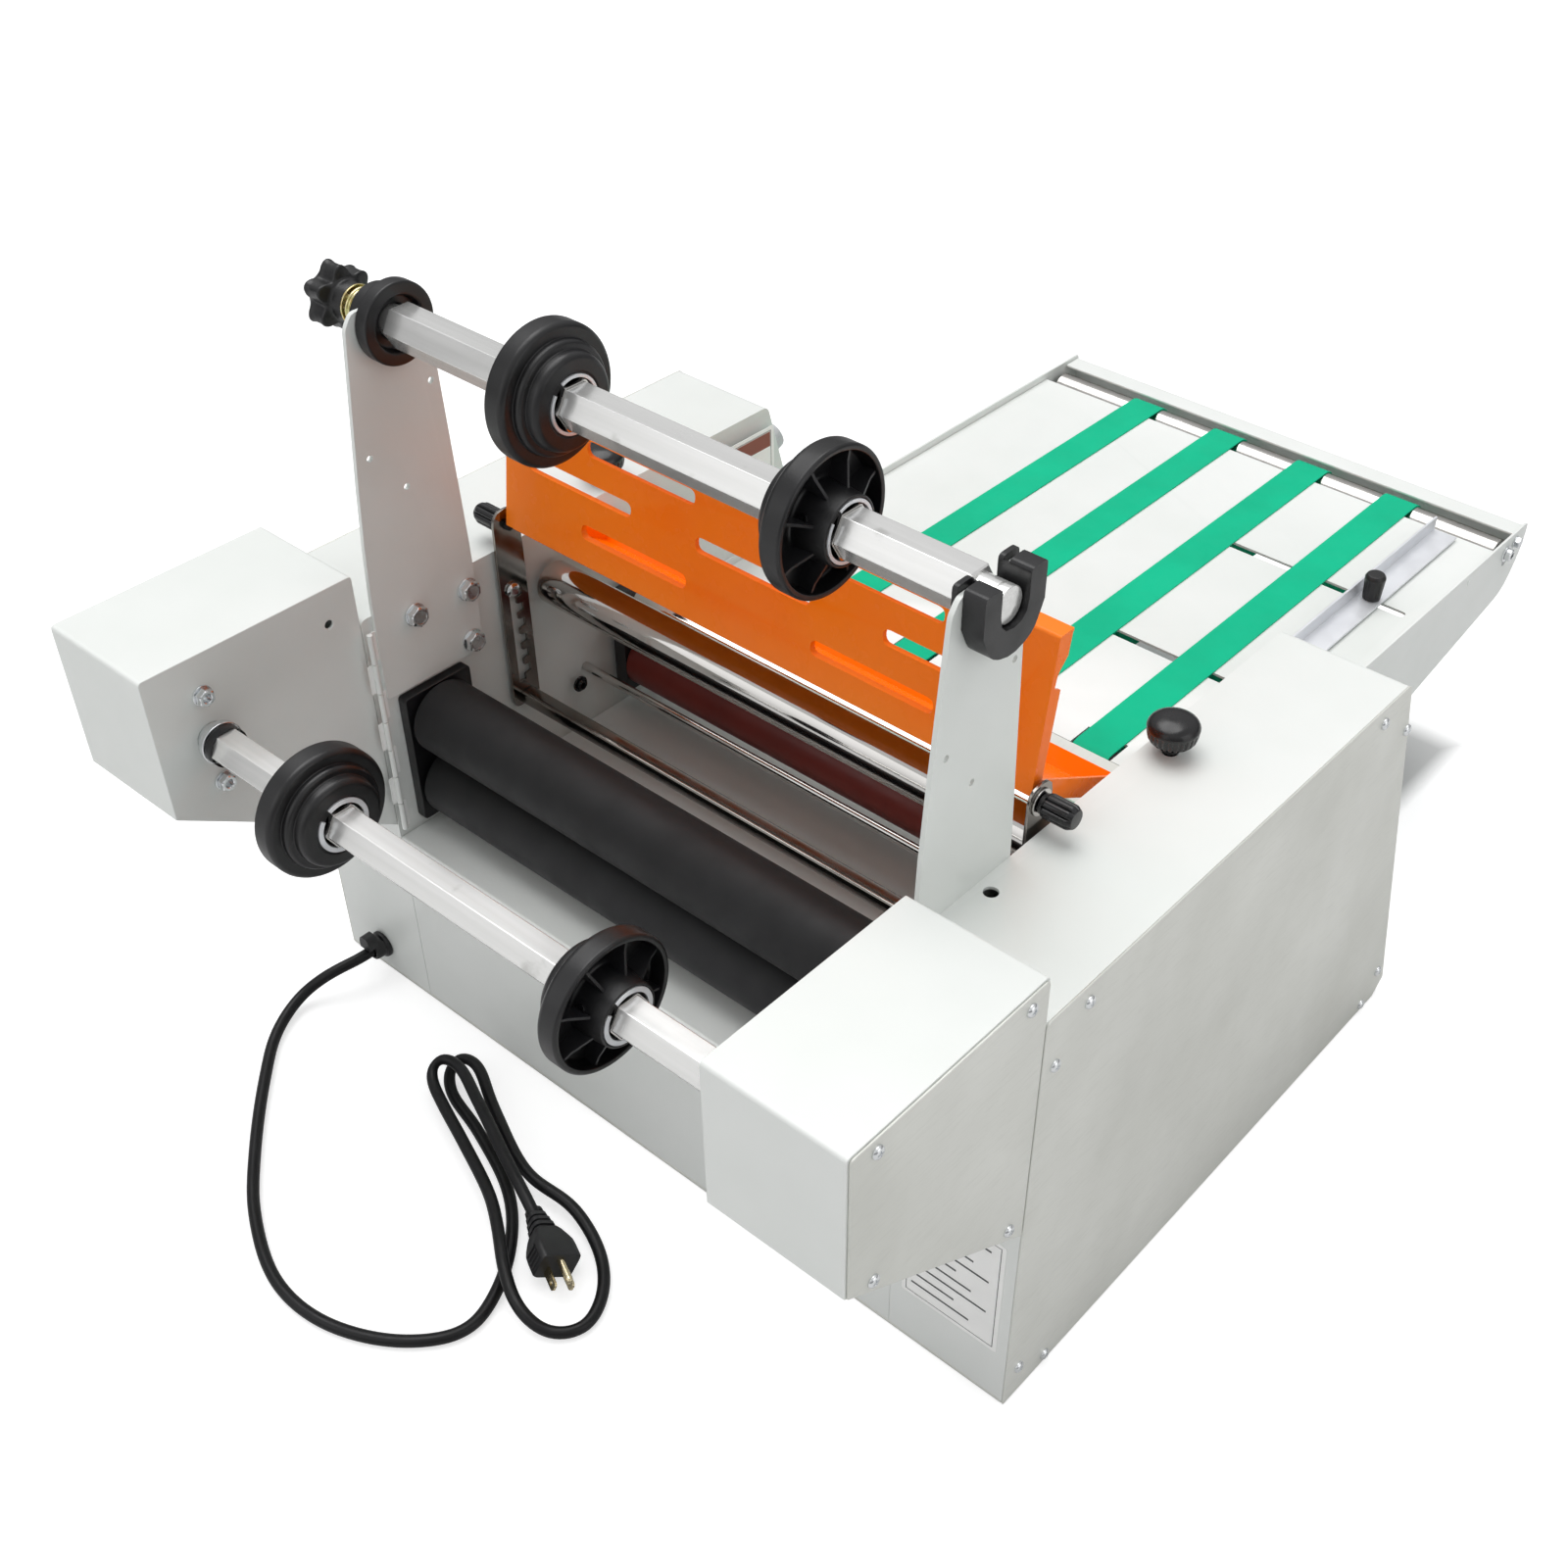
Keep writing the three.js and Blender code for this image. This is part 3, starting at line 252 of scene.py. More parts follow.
def add_object(name, data):
    made = bpy.data.objects.new(name, data)
    bpy.context.scene.collection.objects.link(made)
    return made


def fluting(count, depth, start, end, core=0.0, power=1.0):
    """A shape for `lathe`: shallow flutes between two distances and outside a core radius."""
    def shape(radius, distance, angle):
        inside = start * MM < distance < end * MM and radius > core * MM
        return radius - (depth * MM * max(0.0, cos(count * angle)) ** power if inside else 0)
    return shape


def finish_piece(bm, name, look, node=None, sharp=38, on=None):
    """Makes the mesh an object and shades it.

    It stands for a CAD node and rides that node's body. Without a node it rides the body of the
    node named by `on`, or the frame.
    """
    bmesh.ops.recalc_face_normals(bm, faces=bm.faces)
    mesh = bpy.data.meshes.new(name)
    bm.to_mesh(mesh)
    bm.free()
    mesh.materials.append(look.material)
    mesh.shade_smooth()
    mesh.set_sharp_from_angle(angle=radians(sharp))
    piece = add_object(name, mesh)
    carrier = node or on
    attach(piece, frame["nodes"][carrier]["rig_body"] if carrier else "frame")
    if node:
        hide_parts(node)
    normals = piece.modifiers.new("flat_faces", "WEIGHTED_NORMAL")
    normals.keep_sharp = True
    return piece


def turned_piece(name, profile, edge, centre, along, look, node=None, segments=64, sharp=38, on=None,
                 closed=False, shape=None):
    """One piece that is turned from one profile whose corners are rounded by edge."""
    bm = bmesh.new()
    lathe(bm, rounded(profile, edge, closed), centre, along, segments, closed, shape)
    finish_piece(bm, name, look, node, sharp, on)


def refine(node, look, edge=0.5, inset=0.0):
    """A CAD node's own shape with its sharp edges broken, which stands for the node.

    An inset in millimetres draws the outline of a side cover in, which opens the seam round it.
    """
    bm = bmesh.new()
    bm.from_mesh(frame["nodes"][node].data)
    if inset:
        low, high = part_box(node)
        middle = (low + high) / 2
        for vertex in bm.verts:
            for axis in (1, 2):
                reach = (high[axis] - low[axis]) / 2
                vertex.co[axis] -= (vertex.co[axis] - middle[axis]) / reach * inset * MM
    bmesh.ops.remove_doubles(bm, verts=bm.verts, dist=1e-6)
    bmesh.ops.dissolve_limit(bm, angle_limit=radians(0.5), verts=bm.verts, edges=bm.edges)
    break_edges(bm, bm.edges, edge, clamp_overlap=True)
    finish_piece(bm, node + "_body", look, node, 50)


# --- materials
def rgb(code):
    """Linear colour from a web colour."""
    values = [int(code[i:i + 2], 16) / 255 for i in (0, 2, 4)]
    return tuple(v / 12.92 if v <= 0.04045 else ((v + 0.055) / 1.055) ** 2.4 for v in values) + (1.0,)


class Graph:
    """A node tree under construction, with short calls for its nodes."""

    def __init__(self, owner):
        owner.use_nodes = True
        self.nodes = owner.node_tree.nodes
        self.links = owner.node_tree.links

    def node(self, kind, inputs=None, **settings):
        made = self.nodes.new("ShaderNode" + kind)
        for key, value in settings.items():
            setattr(made, key, value)
        for key, value in (inputs or {}).items():
            if isinstance(value, bpy.types.NodeSocket):
                self.links.new(value, made.inputs[key])
            else:
                made.inputs[key].default_value = value
        return made

    def remap(self, value, low, high, start=0.0, end=1.0):
        """Goes from start to end as value goes from low to high."""
        inputs = {"Value": value, "From Min": low, "From Max": high, "To Min": start, "To Max": end}
        return self.node("MapRange", inputs).outputs[0]

    def ramp(self, value, stops):
        """The colour at a 0 to 1 value between (position, colour) stops."""
        made = self.node("ValToRGB", {"Fac": value})
        elements = made.color_ramp.elements
        while len(elements) < len(stops):
            elements.new(0.5)
        for element, (position, color) in zip(elements, stops):
            element.position, element.color = position, color
        return made.outputs[0]

    def math(self, operation, first, second):
        return self.node("Math", {0: first, 1: second}, operation=operation).outputs[0]


class Look(Graph):
    """A material under construction; slot names the CAD material that it stands for, and is kept on the
    look but not used.
    """

    def __init__(self, name, slot, metallic=0.0, specular=0.5, coat=0.0):
        self.material = bpy.data.materials.new(name)
        super().__init__(self.material)
        self.slot = slot
        self.shader = self.nodes["Principled BSDF"].inputs
        self.shader["Metallic"].default_value = metallic
        self.shader["Specular IOR Level"].default_value = specular
        self.shader["Coat Weight"].default_value = coat
        self.shader["Coat Roughness"].default_value = 0.06
        self.place = self.node("TexCoord").outputs["Object"]
        self.normal = None

    def noise(self, scale, detail=2.0, stretch=(1, 1, 1)):
        """Noise whose grain is 1 / scale metres, drawn out along an axis whose stretch is small."""
        spread = self.node("Mapping", {"Vector": self.place, "Scale": stretch}).outputs[0]
        return self.node("TexNoise", {"Vector": spread, "Scale": scale, "Detail": detail}).outputs[0]

    def color(self, value, *stops):
        self.links.new(self.ramp(value, stops), self.shader["Base Color"])

    def blend_color(self, value, low, high, color, most=1.0):
        """Goes over to another colour as value goes from low to high."""
        so_far = self.shader["Base Color"].links[0].from_socket
        share = self.remap(value, low, high, end=most)
        mix = self.node("MixRGB", {"Fac": share, "Color1": so_far, "Color2": rgb(color)})
        self.links.new(mix.outputs[0], self.shader["Base Color"])
        return self

    def wear_and_edge_highlight(self, low, high, color):
        """Another colour along the outer edges: a painted highlight on the white and orange paint, rubbed
        wear on the black plastic.
        """
        return self.blend_color(self.node("NewGeometry").outputs["Pointiness"], low, high, color)

    def bump(self, height, strength, depth=0.2):
        """Adds relief of a depth in millimetres."""
        inputs = {"Height": height, "Strength": strength, "Distance": depth * MM}
        if self.normal:
            inputs["Normal"] = self.normal
        self.normal = self.node("Bump", inputs).outputs[0]
        self.links.new(self.normal, self.shader["Normal"])
        return self


def surface(name, slot, tone, sheen, *reliefs, **settings):
    """A look whose tone, gloss and relief follow noise.

    The tone is (darker, lighter, *noise) or None when the caller gives the colour, the sheen is
    (lowest, highest roughness, *noise), and a relief is (strength, depth, *noise).
    """
    look = Look(name, slot, **settings)
    if tone:
        darker, lighter, *noise = tone
        reach = 0.3 if "metallic" in settings else 0.35
        look.color(look.noise(*noise), (reach, rgb(darker)), (1 - reach, rgb(lighter)))
    lowest, highest, *noise = sheen
    gloss = look.remap(look.noise(*noise), 0.3, 0.7, lowest, highest)
    look.links.new(gloss, look.shader["Roughness"])
    for strength, depth, *noise in reliefs:
        look.bump(look.noise(*noise), strength, depth)
    return look


def white_paint():
    """Stoved paint: a faint orange peel, slow changes of tone and small pits, with a painted highlight
    along its outer edges.
    """
    look = surface("white_paint", "white_paint", ("DCE0DC", "E3E6E3", 7, 3), (0.3, 0.44, 60, 3),
                   (0.35, 0.12, 420, 1.5), (0.2, 0.03, 2200, 1), coat=0.12)
    # The lighter colour along the outer edges is a painted highlight.
    return look.wear_and_edge_highlight(0.53, 0.66, "F6F7F5")


def orange_paint():
    """The same kind of paint, glossier and with a coarser peel, and with a painted highlight along its
    outer edges.
    """
    look = surface("orange_paint", "orange_paint", ("FF7000", "FF7A00", 7, 3), (0.18, 0.32, 60, 3),
                   (0.35, 0.1, 260, 1.5), (0.2, 0.03, 2200, 1), specular=0.16)
    # The lighter colour along the outer edges is a painted highlight.
    return look.wear_and_edge_highlight(0.52, 0.62, "FF9238")


def galvanised():
    """Zinc-coated sheet: cloudy sheen over a fine rolled grain that runs along Y; the broad light and dark
    clouds in its colour are partly the zinc's own tone and partly painted reflection.
    """
    grain = 650, 3, (1, 0.12, 1)
    # The tone's broad light and dark clouds are partly painted reflection.
    look = surface("galvanised_sheet", "galvanised", ("D3D4CD", "E6E7E1", 9, 4, (1, 1, 0.7)),
                   (0.3, 0.5, 14, 4), (0.12, 0.03, *grain), metallic=0.35)
    return look.blend_color(look.noise(*grain), 0.5, 0.8, "BFC0B8", 0.22)


def satin_bar():
    """Ground and dulled hexagon bar: an even sheen with long faint lines and a few small dents."""
    dents = 48, 6
    look = surface("satin_bar", "aluminium", ("E6E6E4", "F0F0EE", 260, 3, (0.02, 1, 1)),
                   (0.15, 0.27, 70, 4, (0.1, 1, 1)), (0.05, 0.1, *dents), metallic=0.72)
    return look.blend_color(look.noise(*dents), 0.64, 0.74, "CFCFCC")


def polished(name, slot, darker, lighter, lowest, highest):
    """Plated metal with faint wipe marks."""
    return surface(name, slot, (darker, lighter, 14, 3), (lowest, highest, 75, 5),
                   (0.02, 0.05, 90, 3), metallic=1.0)


def yellow_zinc():
    """Yellow passivated zinc with its green and pink bloom."""
    look = surface("yellow_zinc_plate", "steel", None, (0.12, 0.28, 700, 3),
                   (0.12, 0.03, 1800, 2), metallic=1.0)
    bloom = (0.3, "D9C07C"), (0.45, "EBDDB0"), (0.55, "C8C98A"), (0.68, "E3B98C")
    look.color(look.noise(180, 2), *((position, rgb(code)) for position, code in bloom))
    return look


def black_plastic():
    """Moulded nylon with a fine grain; its outer edges are rubbed a little grey."""
    look = surface("black_plastic", "black_plastic", ("0E0E0F", "161618", 35, 4), (0.28, 0.46, 60, 5))
    pebbles = look.node("TexVoronoi", {"Vector": look.place, "Scale": 950}).outputs["Distance"]
    look.bump(pebbles, 0.3, 0.09).bump(look.noise(180, 3), 0.12, 0.15)
    return look.wear_and_edge_highlight(0.53, 0.72, "2A2A2D")


def belt_green():
    """Coated belt: a fabric weave that shows faintly through a matt skin."""
    look = surface("belt_green", "green_belt", ("00B084", "00BA8C", 16, 4), (0.5, 0.64, 70, 3),
                   specular=0.15)
    for axis in ("X", "Y"):
        inputs = {"Vector": look.place, "Scale": 320.0}
        look.bump(look.node("TexWave", inputs, bands_direction=axis).outputs[1], 0.25, 0.05)
    return look


def label_stock(name, slot, code):
    """Printed film: one colour with a slight unevenness."""
    look = surface(name, slot, None, (0.34, 0.46, 120, 2), (0.1, 0.03, 900, 2))
    even = rgb(code)
    uneven = tuple(value * 0.94 for value in even[:3]) + (1.0,)
    look.color(look.noise(40, 3), (0.3, uneven), (0.7, even))
    return look


WHITE, ORANGE, GALVANISED, SATIN_BAR = white_paint(), orange_paint(), galvanised(), satin_bar()
CHROME = polished("chrome_plate", "chrome", "C6C4C1", "D2D0CD", 0.04, 0.1)
NICKEL = polished("dark_nickel", "nickel", "8A8681", "98948F", 0.12, 0.22)
ROLLER_STEEL = polished("roller_steel", "aluminium", "B2B0AC", "C4C2BE", 0.1, 0.24)
STEEL = polished("machined_steel", "steel", "9C9FA2", "B5B8BA", 0.25, 0.42)
BRASS = polished("plug_brass", "steel", "CFC09A", "E2D5B6", 0.14, 0.3)
YELLOW_ZINC, BLACK, GREEN = yellow_zinc(), black_plastic(), belt_green()
# Matt anodised angle
PALE_ALUMINIUM = surface("matt_aluminium", "aluminium", ("DFE1E5", "EAECEF", 25, 3), (0.36, 0.5, 80, 3),
                         (0.1, 0.03, 800, 2, (1, 0.04, 1)), metallic=0.6)
# Bright zinc plating on fasteners
ZINC = surface("zinc_plate", "steel", ("DBDEE0", "EDEFF0", 60, 3), (0.16, 0.28, 160, 3),
               (0.06, 0.02, 1500, 2), metallic=1.0)
# Ground rubber: a dull skin with the fine lines of the grinding wheel, and a little dust
RUBBER = surface("roller_rubber", "black_rubber", ("161617", "1E1E20", 9, 4, (0.5, 1, 1)),
                 (0.5, 0.66, 40, 4), (0.22, 0.04, 1100, 2, (1, 0.02, 0.02)),
                 (0.3, 0.03, 2400, 2), specular=0.35)
# Dark red rubber with the faint rings of its grinding
SILICONE = surface("red_silicone", "red_silicone", ("6E2219", "7D2A20", 12, 3), (0.36, 0.5, 50, 3),
                   (0.12, 0.03, 1300, 2, (1, 0.03, 0.03)))
# Polished moulded knobs
GLOSS_BLACK = surface("gloss_black", "black_plastic", ("0F0F10", "171719", 45, 3), (0.16, 0.32, 140, 4),
                      (0.14, 0.06, 420, 3))
# Soft vinyl: satin black with slow waves from being coiled
CORD = surface("cord_jacket", "cord_rubber", ("0A0A0B", "111113", 45, 3), (0.32, 0.46, 140, 4),
               (0.14, 0.06, 420, 3), specular=0.3)
# The dial's moulding
GREY = surface("grey_plastic", "grey_plastic", ("B9BCBD", "C6C9CA", 60, 3), (0.28, 0.42, 90, 3),
               (0.2, 0.04, 1400, 2))
PAPER = label_stock("label_white", "white_paint", "FDFDFB")
INK = label_stock("label_ink", "black_plastic", "3A3B3D")
RUST = label_stock("label_rust", "black_plastic", "8E4636")


# --- fasteners
def turned_head(bm, profile, place, facing, outlines, washer=None):
    """A small head turned round `facing`; outlines gives the outline of the ring at a distance.

    The washer under it is (inner radius, outer radius, thickness).
    """
    if washer:
        inner, outer, thickness = washer
        ring(bm, inner, outer, 0, thickness, place, facing, 0.3, 48)
    def shape(radius, distance, angle):
        outline = outlines.get(round(distance / MM, 3))
        return outline(radius, angle) if outline else radius
    lathe(bm, [(r * MM, d * MM) for r, d in profile], place, facing, 48, shape=shape)


def cross_slot(radius, angle):
    """The outline of a cross recess whose arms are a fifth as wide as they are long."""
    width = radius * 0.24
    cosine, sine = max(abs(cos(angle)), 1e-6), max(abs(sin(angle)), 1e-6)
    return max(min(radius / cosine, width / sine), min(width / cosine, radius / sine))


def pan_screw(bm, place, facing, radius=4.0):
    """A pan-head screw with a cross recess, standing on a surface."""
    mouth, well = 0.585, 0.2
    shares = [(1, 0), (1, 0.18), (0.93, 0.36), (0.76, 0.52), (0.6, 0.58), (0.56, mouth), (0.3, well),
              (0, 0.18)]
    cross = {round(radius * share, 3): cross_slot for share in (mouth, well)}
    turned_head(bm, [(radius * r, radius * d) for r, d in shares], place, facing, cross)


def hex_bolt(bm, place, facing, flats=13.0, height=5.3, washer=8.0):
    """A hexagon bolt head with a chamfered top on its washer."""
    half, top = flats / 2, height + 1.5
    profile = [(half * 0.9, 1.5), (half, 1.6), (half, top - 0.7), (half * 0.95, top),
               (half * 0.72, top + 0.1), (half * 0.66, top - 0.15), (0, top - 0.15)]
    sides = {1.6: hex_radius, round(top - 0.7, 3): hex_radius}
    turned_head(bm, profile, place, facing, sides, (2, washer, 1.5))


def hollow_nut(bm, place, facing, flats=10.0, height=5.0, bore=2.7):
    """A hexagon nut with an open bore, on its washer."""
    half, top = flats / 2, height + 1.3
    profile = [(half * 0.92, 1.3), (half, 1.7), (half, top - 0.7), (half * 0.92, top), (bore + 0.5, top),
               (bore, top - 0.5), (bore, 1.5), (0, 1.4)]
    sides = {1.7: hex_radius, round(top - 0.7, 3): hex_radius}
    turned_head(bm, profile, place, facing, sides, (bore, half + 1.6, 1.3))


def socket_bolt(bm, place, facing, radius=6.0, height=5.0):
    """A socket bolt: a round head with a hexagon well."""
    top = height + 1.5
    profile = [(radius * 0.9, 1.5), (radius, 1.7), (radius, top - 0.6), (radius - 0.7, top),
               (radius * 0.55, top), (radius * 0.5, top - 0.3), (radius * 0.5, top - 3.4), (0, top - 3.5)]
    well = {round(top - depth, 3): hex_radius for depth in (0.3, 3.4)}
    turned_head(bm, profile, place, facing, well, (2, radius + 1.8, 1.5))


def fasteners(name, maker, places, facing, look=ZINC, **sizes):
    """One piece that holds the same fastener at each place."""
    bm = bmesh.new()
    for place in places:
        maker(bm, place, facing, **sizes)
    finish_piece(bm, name, look, sharp=35)


def on_wall(x, *spots):
    """Points on a wall at x, from the front faces' distance and the height in millimetres."""
    return [Vector((x, FRONT + y * MM, z * MM)) for y, z in spots]


# --- housings
def build_housings():
    for edge, look, nodes in (
        (0.7, WHITE, ("front_panel_deck", "left_cabinet", "right_cabinet")),
        (0.7, WHITE, ("left_rewind_box", "right_rewind_box")),
        (0.5, WHITE, ("left_film_bracket", "right_film_bracket")),
        (0.8, GALVANISED, ("base_plate", "left_side_plate", "right_side_plate")),
        (0.8, BLACK, ("left_bearing_plate",)),
    ):
        for node in nodes:
            refine(node, look, edge)
    refine("right_box_cover", GALVANISED, 0.6, inset=1.3)


def housing_screws():
    """Screws of the side plates, the drive box's cover, the film brackets and the inner walls."""
    plate = (37.5, 320), (348, 320), (387.3, 293), (457, 30), (440, 8), (10.9, 294.5), (12, 27), (41, 8)
    for name, side in SIDES:
        fasteners(name + "_side_plate_screws", pan_screw, on_wall(side * SIDE, *plate), X * side)
        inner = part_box(name + "_film_bracket")[0 if side > 0 else 1].x
        bolts = on_wall(inner, (38.7, 320), (82, 318), (80.5, 279))
        fasteners(name + "_bracket_bolts", hex_bolt, bolts, -X * side)
        beside_rod = on_wall(side * (WALL - 0.02 * MM), (167, 197))
        fasteners(name + "_wall_screw", socket_bolt, beside_rod, -X * side, GLOSS_BLACK,
                  radius=4.2, height=2.5)
    cover = on_wall(SIDE, (-16.7, 356), (-132, 356), (-16, 186), (-132, 262))
    fasteners("box_cover_screws", pan_screw, cover, X)


def box_hinge():
    """The painted piano hinge between the left rewind box and its cabinet."""
    low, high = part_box("left_rewind_box")
    bottom, top, knuckles = low.z / MM + 1, high.z / MM - 40, 7
    step = (top - bottom) / knuckles
    pin = Vector((-WALL + 1.9 * MM, FRONT - 0.2 * MM, 0))
    bm = bmesh.new()
    for i in range(knuckles):
        start = bottom + i * step
        rod(bm, 1.9, start + 0.3, start + step - 0.3, pin, Z, 0.3, 24)
        side = -1 if i % 2 else 1
        low_y, high_y = sorted((FRONT, FRONT + side * 5 * MM))
        block(bm, Vector((-WALL + 0.05 * MM, low_y, (start + 0.7) * MM)),
              Vector((-WALL + 0.6 * MM, high_y, (start + step - 0.7) * MM)), 0.2)
    finish_piece(bm, "box_hinge", WHITE)


def plate_with_rules(name, corner, across, up, width, height, header=0.0):
    """A blank plate on a face: a border line, plain rule lines and, if asked, a coloured band."""
    margin, line, rule, pitch = 3.0, 0.5, 1.6, 9
    inner_width, inner_height = width - 2 * margin, height - 2 * margin
    printed = corner + across.cross(up) * 0.3 * MM
    def strip(bm, u, v, length, thickness):
        place = printed + (across * u + up * v) * MM
        prism(bm, rectangle(0, 0, length, thickness), place, across, up, 0.12)
    bm = bmesh.new()
    prism(bm, rectangle(0, 0, width, height, 2), corner, across, up, 0.35, 0.08)
    finish_piece(bm, name, PAPER)
    bm = bmesh.new()
    for v in (margin, height - margin - line):
        strip(bm, margin, v, inner_width, line)
    for u in (margin, width - margin - line):
        strip(bm, u, margin + 0.6, line, inner_height - 1.2)
    rows = max(3, round((inner_height - header) / pitch))
    for row in range(1, rows):
        v = margin + (inner_height - header) * row / rows
        strip(bm, margin + 4, v, (inner_width - 8) * (0.95 - 0.2 * (row % 3)), rule)
    finish_piece(bm, name + "_lines", INK)
    if header:
        bm = bmesh.new()
        strip(bm, margin + 1, height - margin - header - 1, inner_width - 2, header)
        finish_piece(bm, name + "_band", RUST)


def build_labels():
    plate_with_rules("rating_plate", Vector((0.229, FRONT - 0.02 * MM, 0.046)), X, Z, 72, 100)
    wall_corner = Vector((-WALL + 0.02 * MM, FRONT + 317 * MM, 0.260))
    plate_with_rules("wall_label", wall_corner, Y, Z, 61, 60, header=12)


# --- film supply shaft
def hex_bar(bm, flats, start, end, centre, edge=0.8):
    """A hexagon bar along X with its ends turned to a slight cone."""
    outline = rounded(hexagon(flats), 0.5, True, 2)
    cone = 1 - edge / flats * 2
    rings = []
    for x, scale in ((start, cone), (start + edge, 1), (end - edge, 1), (end, cone)):
        place = Vector((x * MM, centre.y, centre.z))
        rings.append([place + (Y * v.x + Z * v.y) * scale for v in outline])
    loft(bm, rings)


def build_film_shaft():
    """The hexagon bar, its right journal with a ring groove, and its left journal and thread."""
    centre, left, right, half = round_node("film_shaft")
    journal, thread, pitch = 10.0, 5.0, 1.25
    hex_start, hex_end, thread_end, groove = left + 59.5, right - 18, left + 32, journal - 0.8
    bm = bmesh.new()
    hex_bar(bm, half * 2, hex_start, hex_end, centre)
    profile = [(0, hex_end - 2), (journal, hex_end - 2), (journal, right - 6), (groove, right - 6),
               (groove, right - 5), (journal, right - 5), (journal, right), (0, right)]
    lathe(bm, rounded(profile, 0.8), centre, X)
    profile = [(0, hex_start + 2), (journal, hex_start + 2), (journal, thread_end), (thread, thread_end)]
    x = thread_end - 0.4
    while x > left + 1:
        profile += [(thread, x), (thread - 0.7, x - 0.6)]
        x -= pitch
    profile += [(thread - 1, left), (0, left)]
    lathe(bm, rounded(profile), centre, X, 48)
    finish_piece(bm, "film_shaft_bar", SATIN_BAR, "film_shaft")


def build_brake():
    """Star knob, washers and spring that press on the left bushing."""
    centre = axis_x(FILM)
    _, left, right, reach = round_node("brake_star_knob")
    lobes, core = 6, 14
    def lobed(radius, distance, angle):
        if radius < core * MM or distance > (left + 16.5) * MM:
            return radius
        wave = cos(lobes * (angle - pi / 2))
        share = min(1.0, (radius / MM - core) / (reach - core))
        return radius * (1 + share * (0.13 * (1 if wave > 0 else 1.25) * wave - 0.13))
    profile = [(0, left), (8, left, 1), (16, left + 0.6, 2), (21.5, left + 2.6, 3), (reach, left + 6, 2),
               (reach, left + 12, 2), (21, left + 15.5, 2), (12.5, left + 16.8, 2), (11.5, right - 1, 1),
               (6, right, 0.4), (0, right)]
    bm = bmesh.new()
    lathe(bm, rounded(profile, 0.5, steps=4), centre, X, 144, shape=lobed)
    finish_piece(bm, "star_knob", BLACK, "brake_star_knob", 50)

    _, start, end, _ = round_node("brake_spring")
    coils, coil, wire, steps = 3.2, 11, 1.15, 150
    path = []
    for i in range(steps + 1):
        angle = FULL_TURN * coils * i / steps
        x = end - wire - (end - start - 2 * wire) * i / steps
        path.append(centre + at(x, coil * cos(angle), coil * sin(angle)))
    bm = bmesh.new()
    tube(bm, path, wire * MM, 12)
    ring(bm, 5.4, 13.5, end + 0.2, end + 1.6, centre, X)
    ring(bm, 10.4, 15.5, end + 1.9, end + 3.2, centre, X)
    ring(bm, 5.4, 12.5, start - 1.5, start - 0.1, centre, X)
    finish_piece(bm, "brake_spring_and_washers", YELLOW_ZINC, "brake_spring")


def build_shaft_supports():
    """The grooved bushing that hangs in the left bracket's notch, and the right cradle."""
    _, back, face, outer = round_node("shaft_bushing")
    outside, inside = (end.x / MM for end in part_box("left_film_bracket"))
    bore, neck = 10.3, 12
    profile = [(bore, back), (outer - 6, back), (outer - 6, outside - 0.3), (neck, outside - 0.3),
               (neck, inside + 0.3), (outer, inside + 0.3), (outer, face), (17, face), (16, face - 6),
               (bore, face - 6)]
    turned_piece("film_shaft_bushing", profile, 1.4, axis_x(FILM), X, BLACK,
                 "shaft_bushing", 96, closed=True)
    refine("shaft_cradle", BLACK, 0.55)


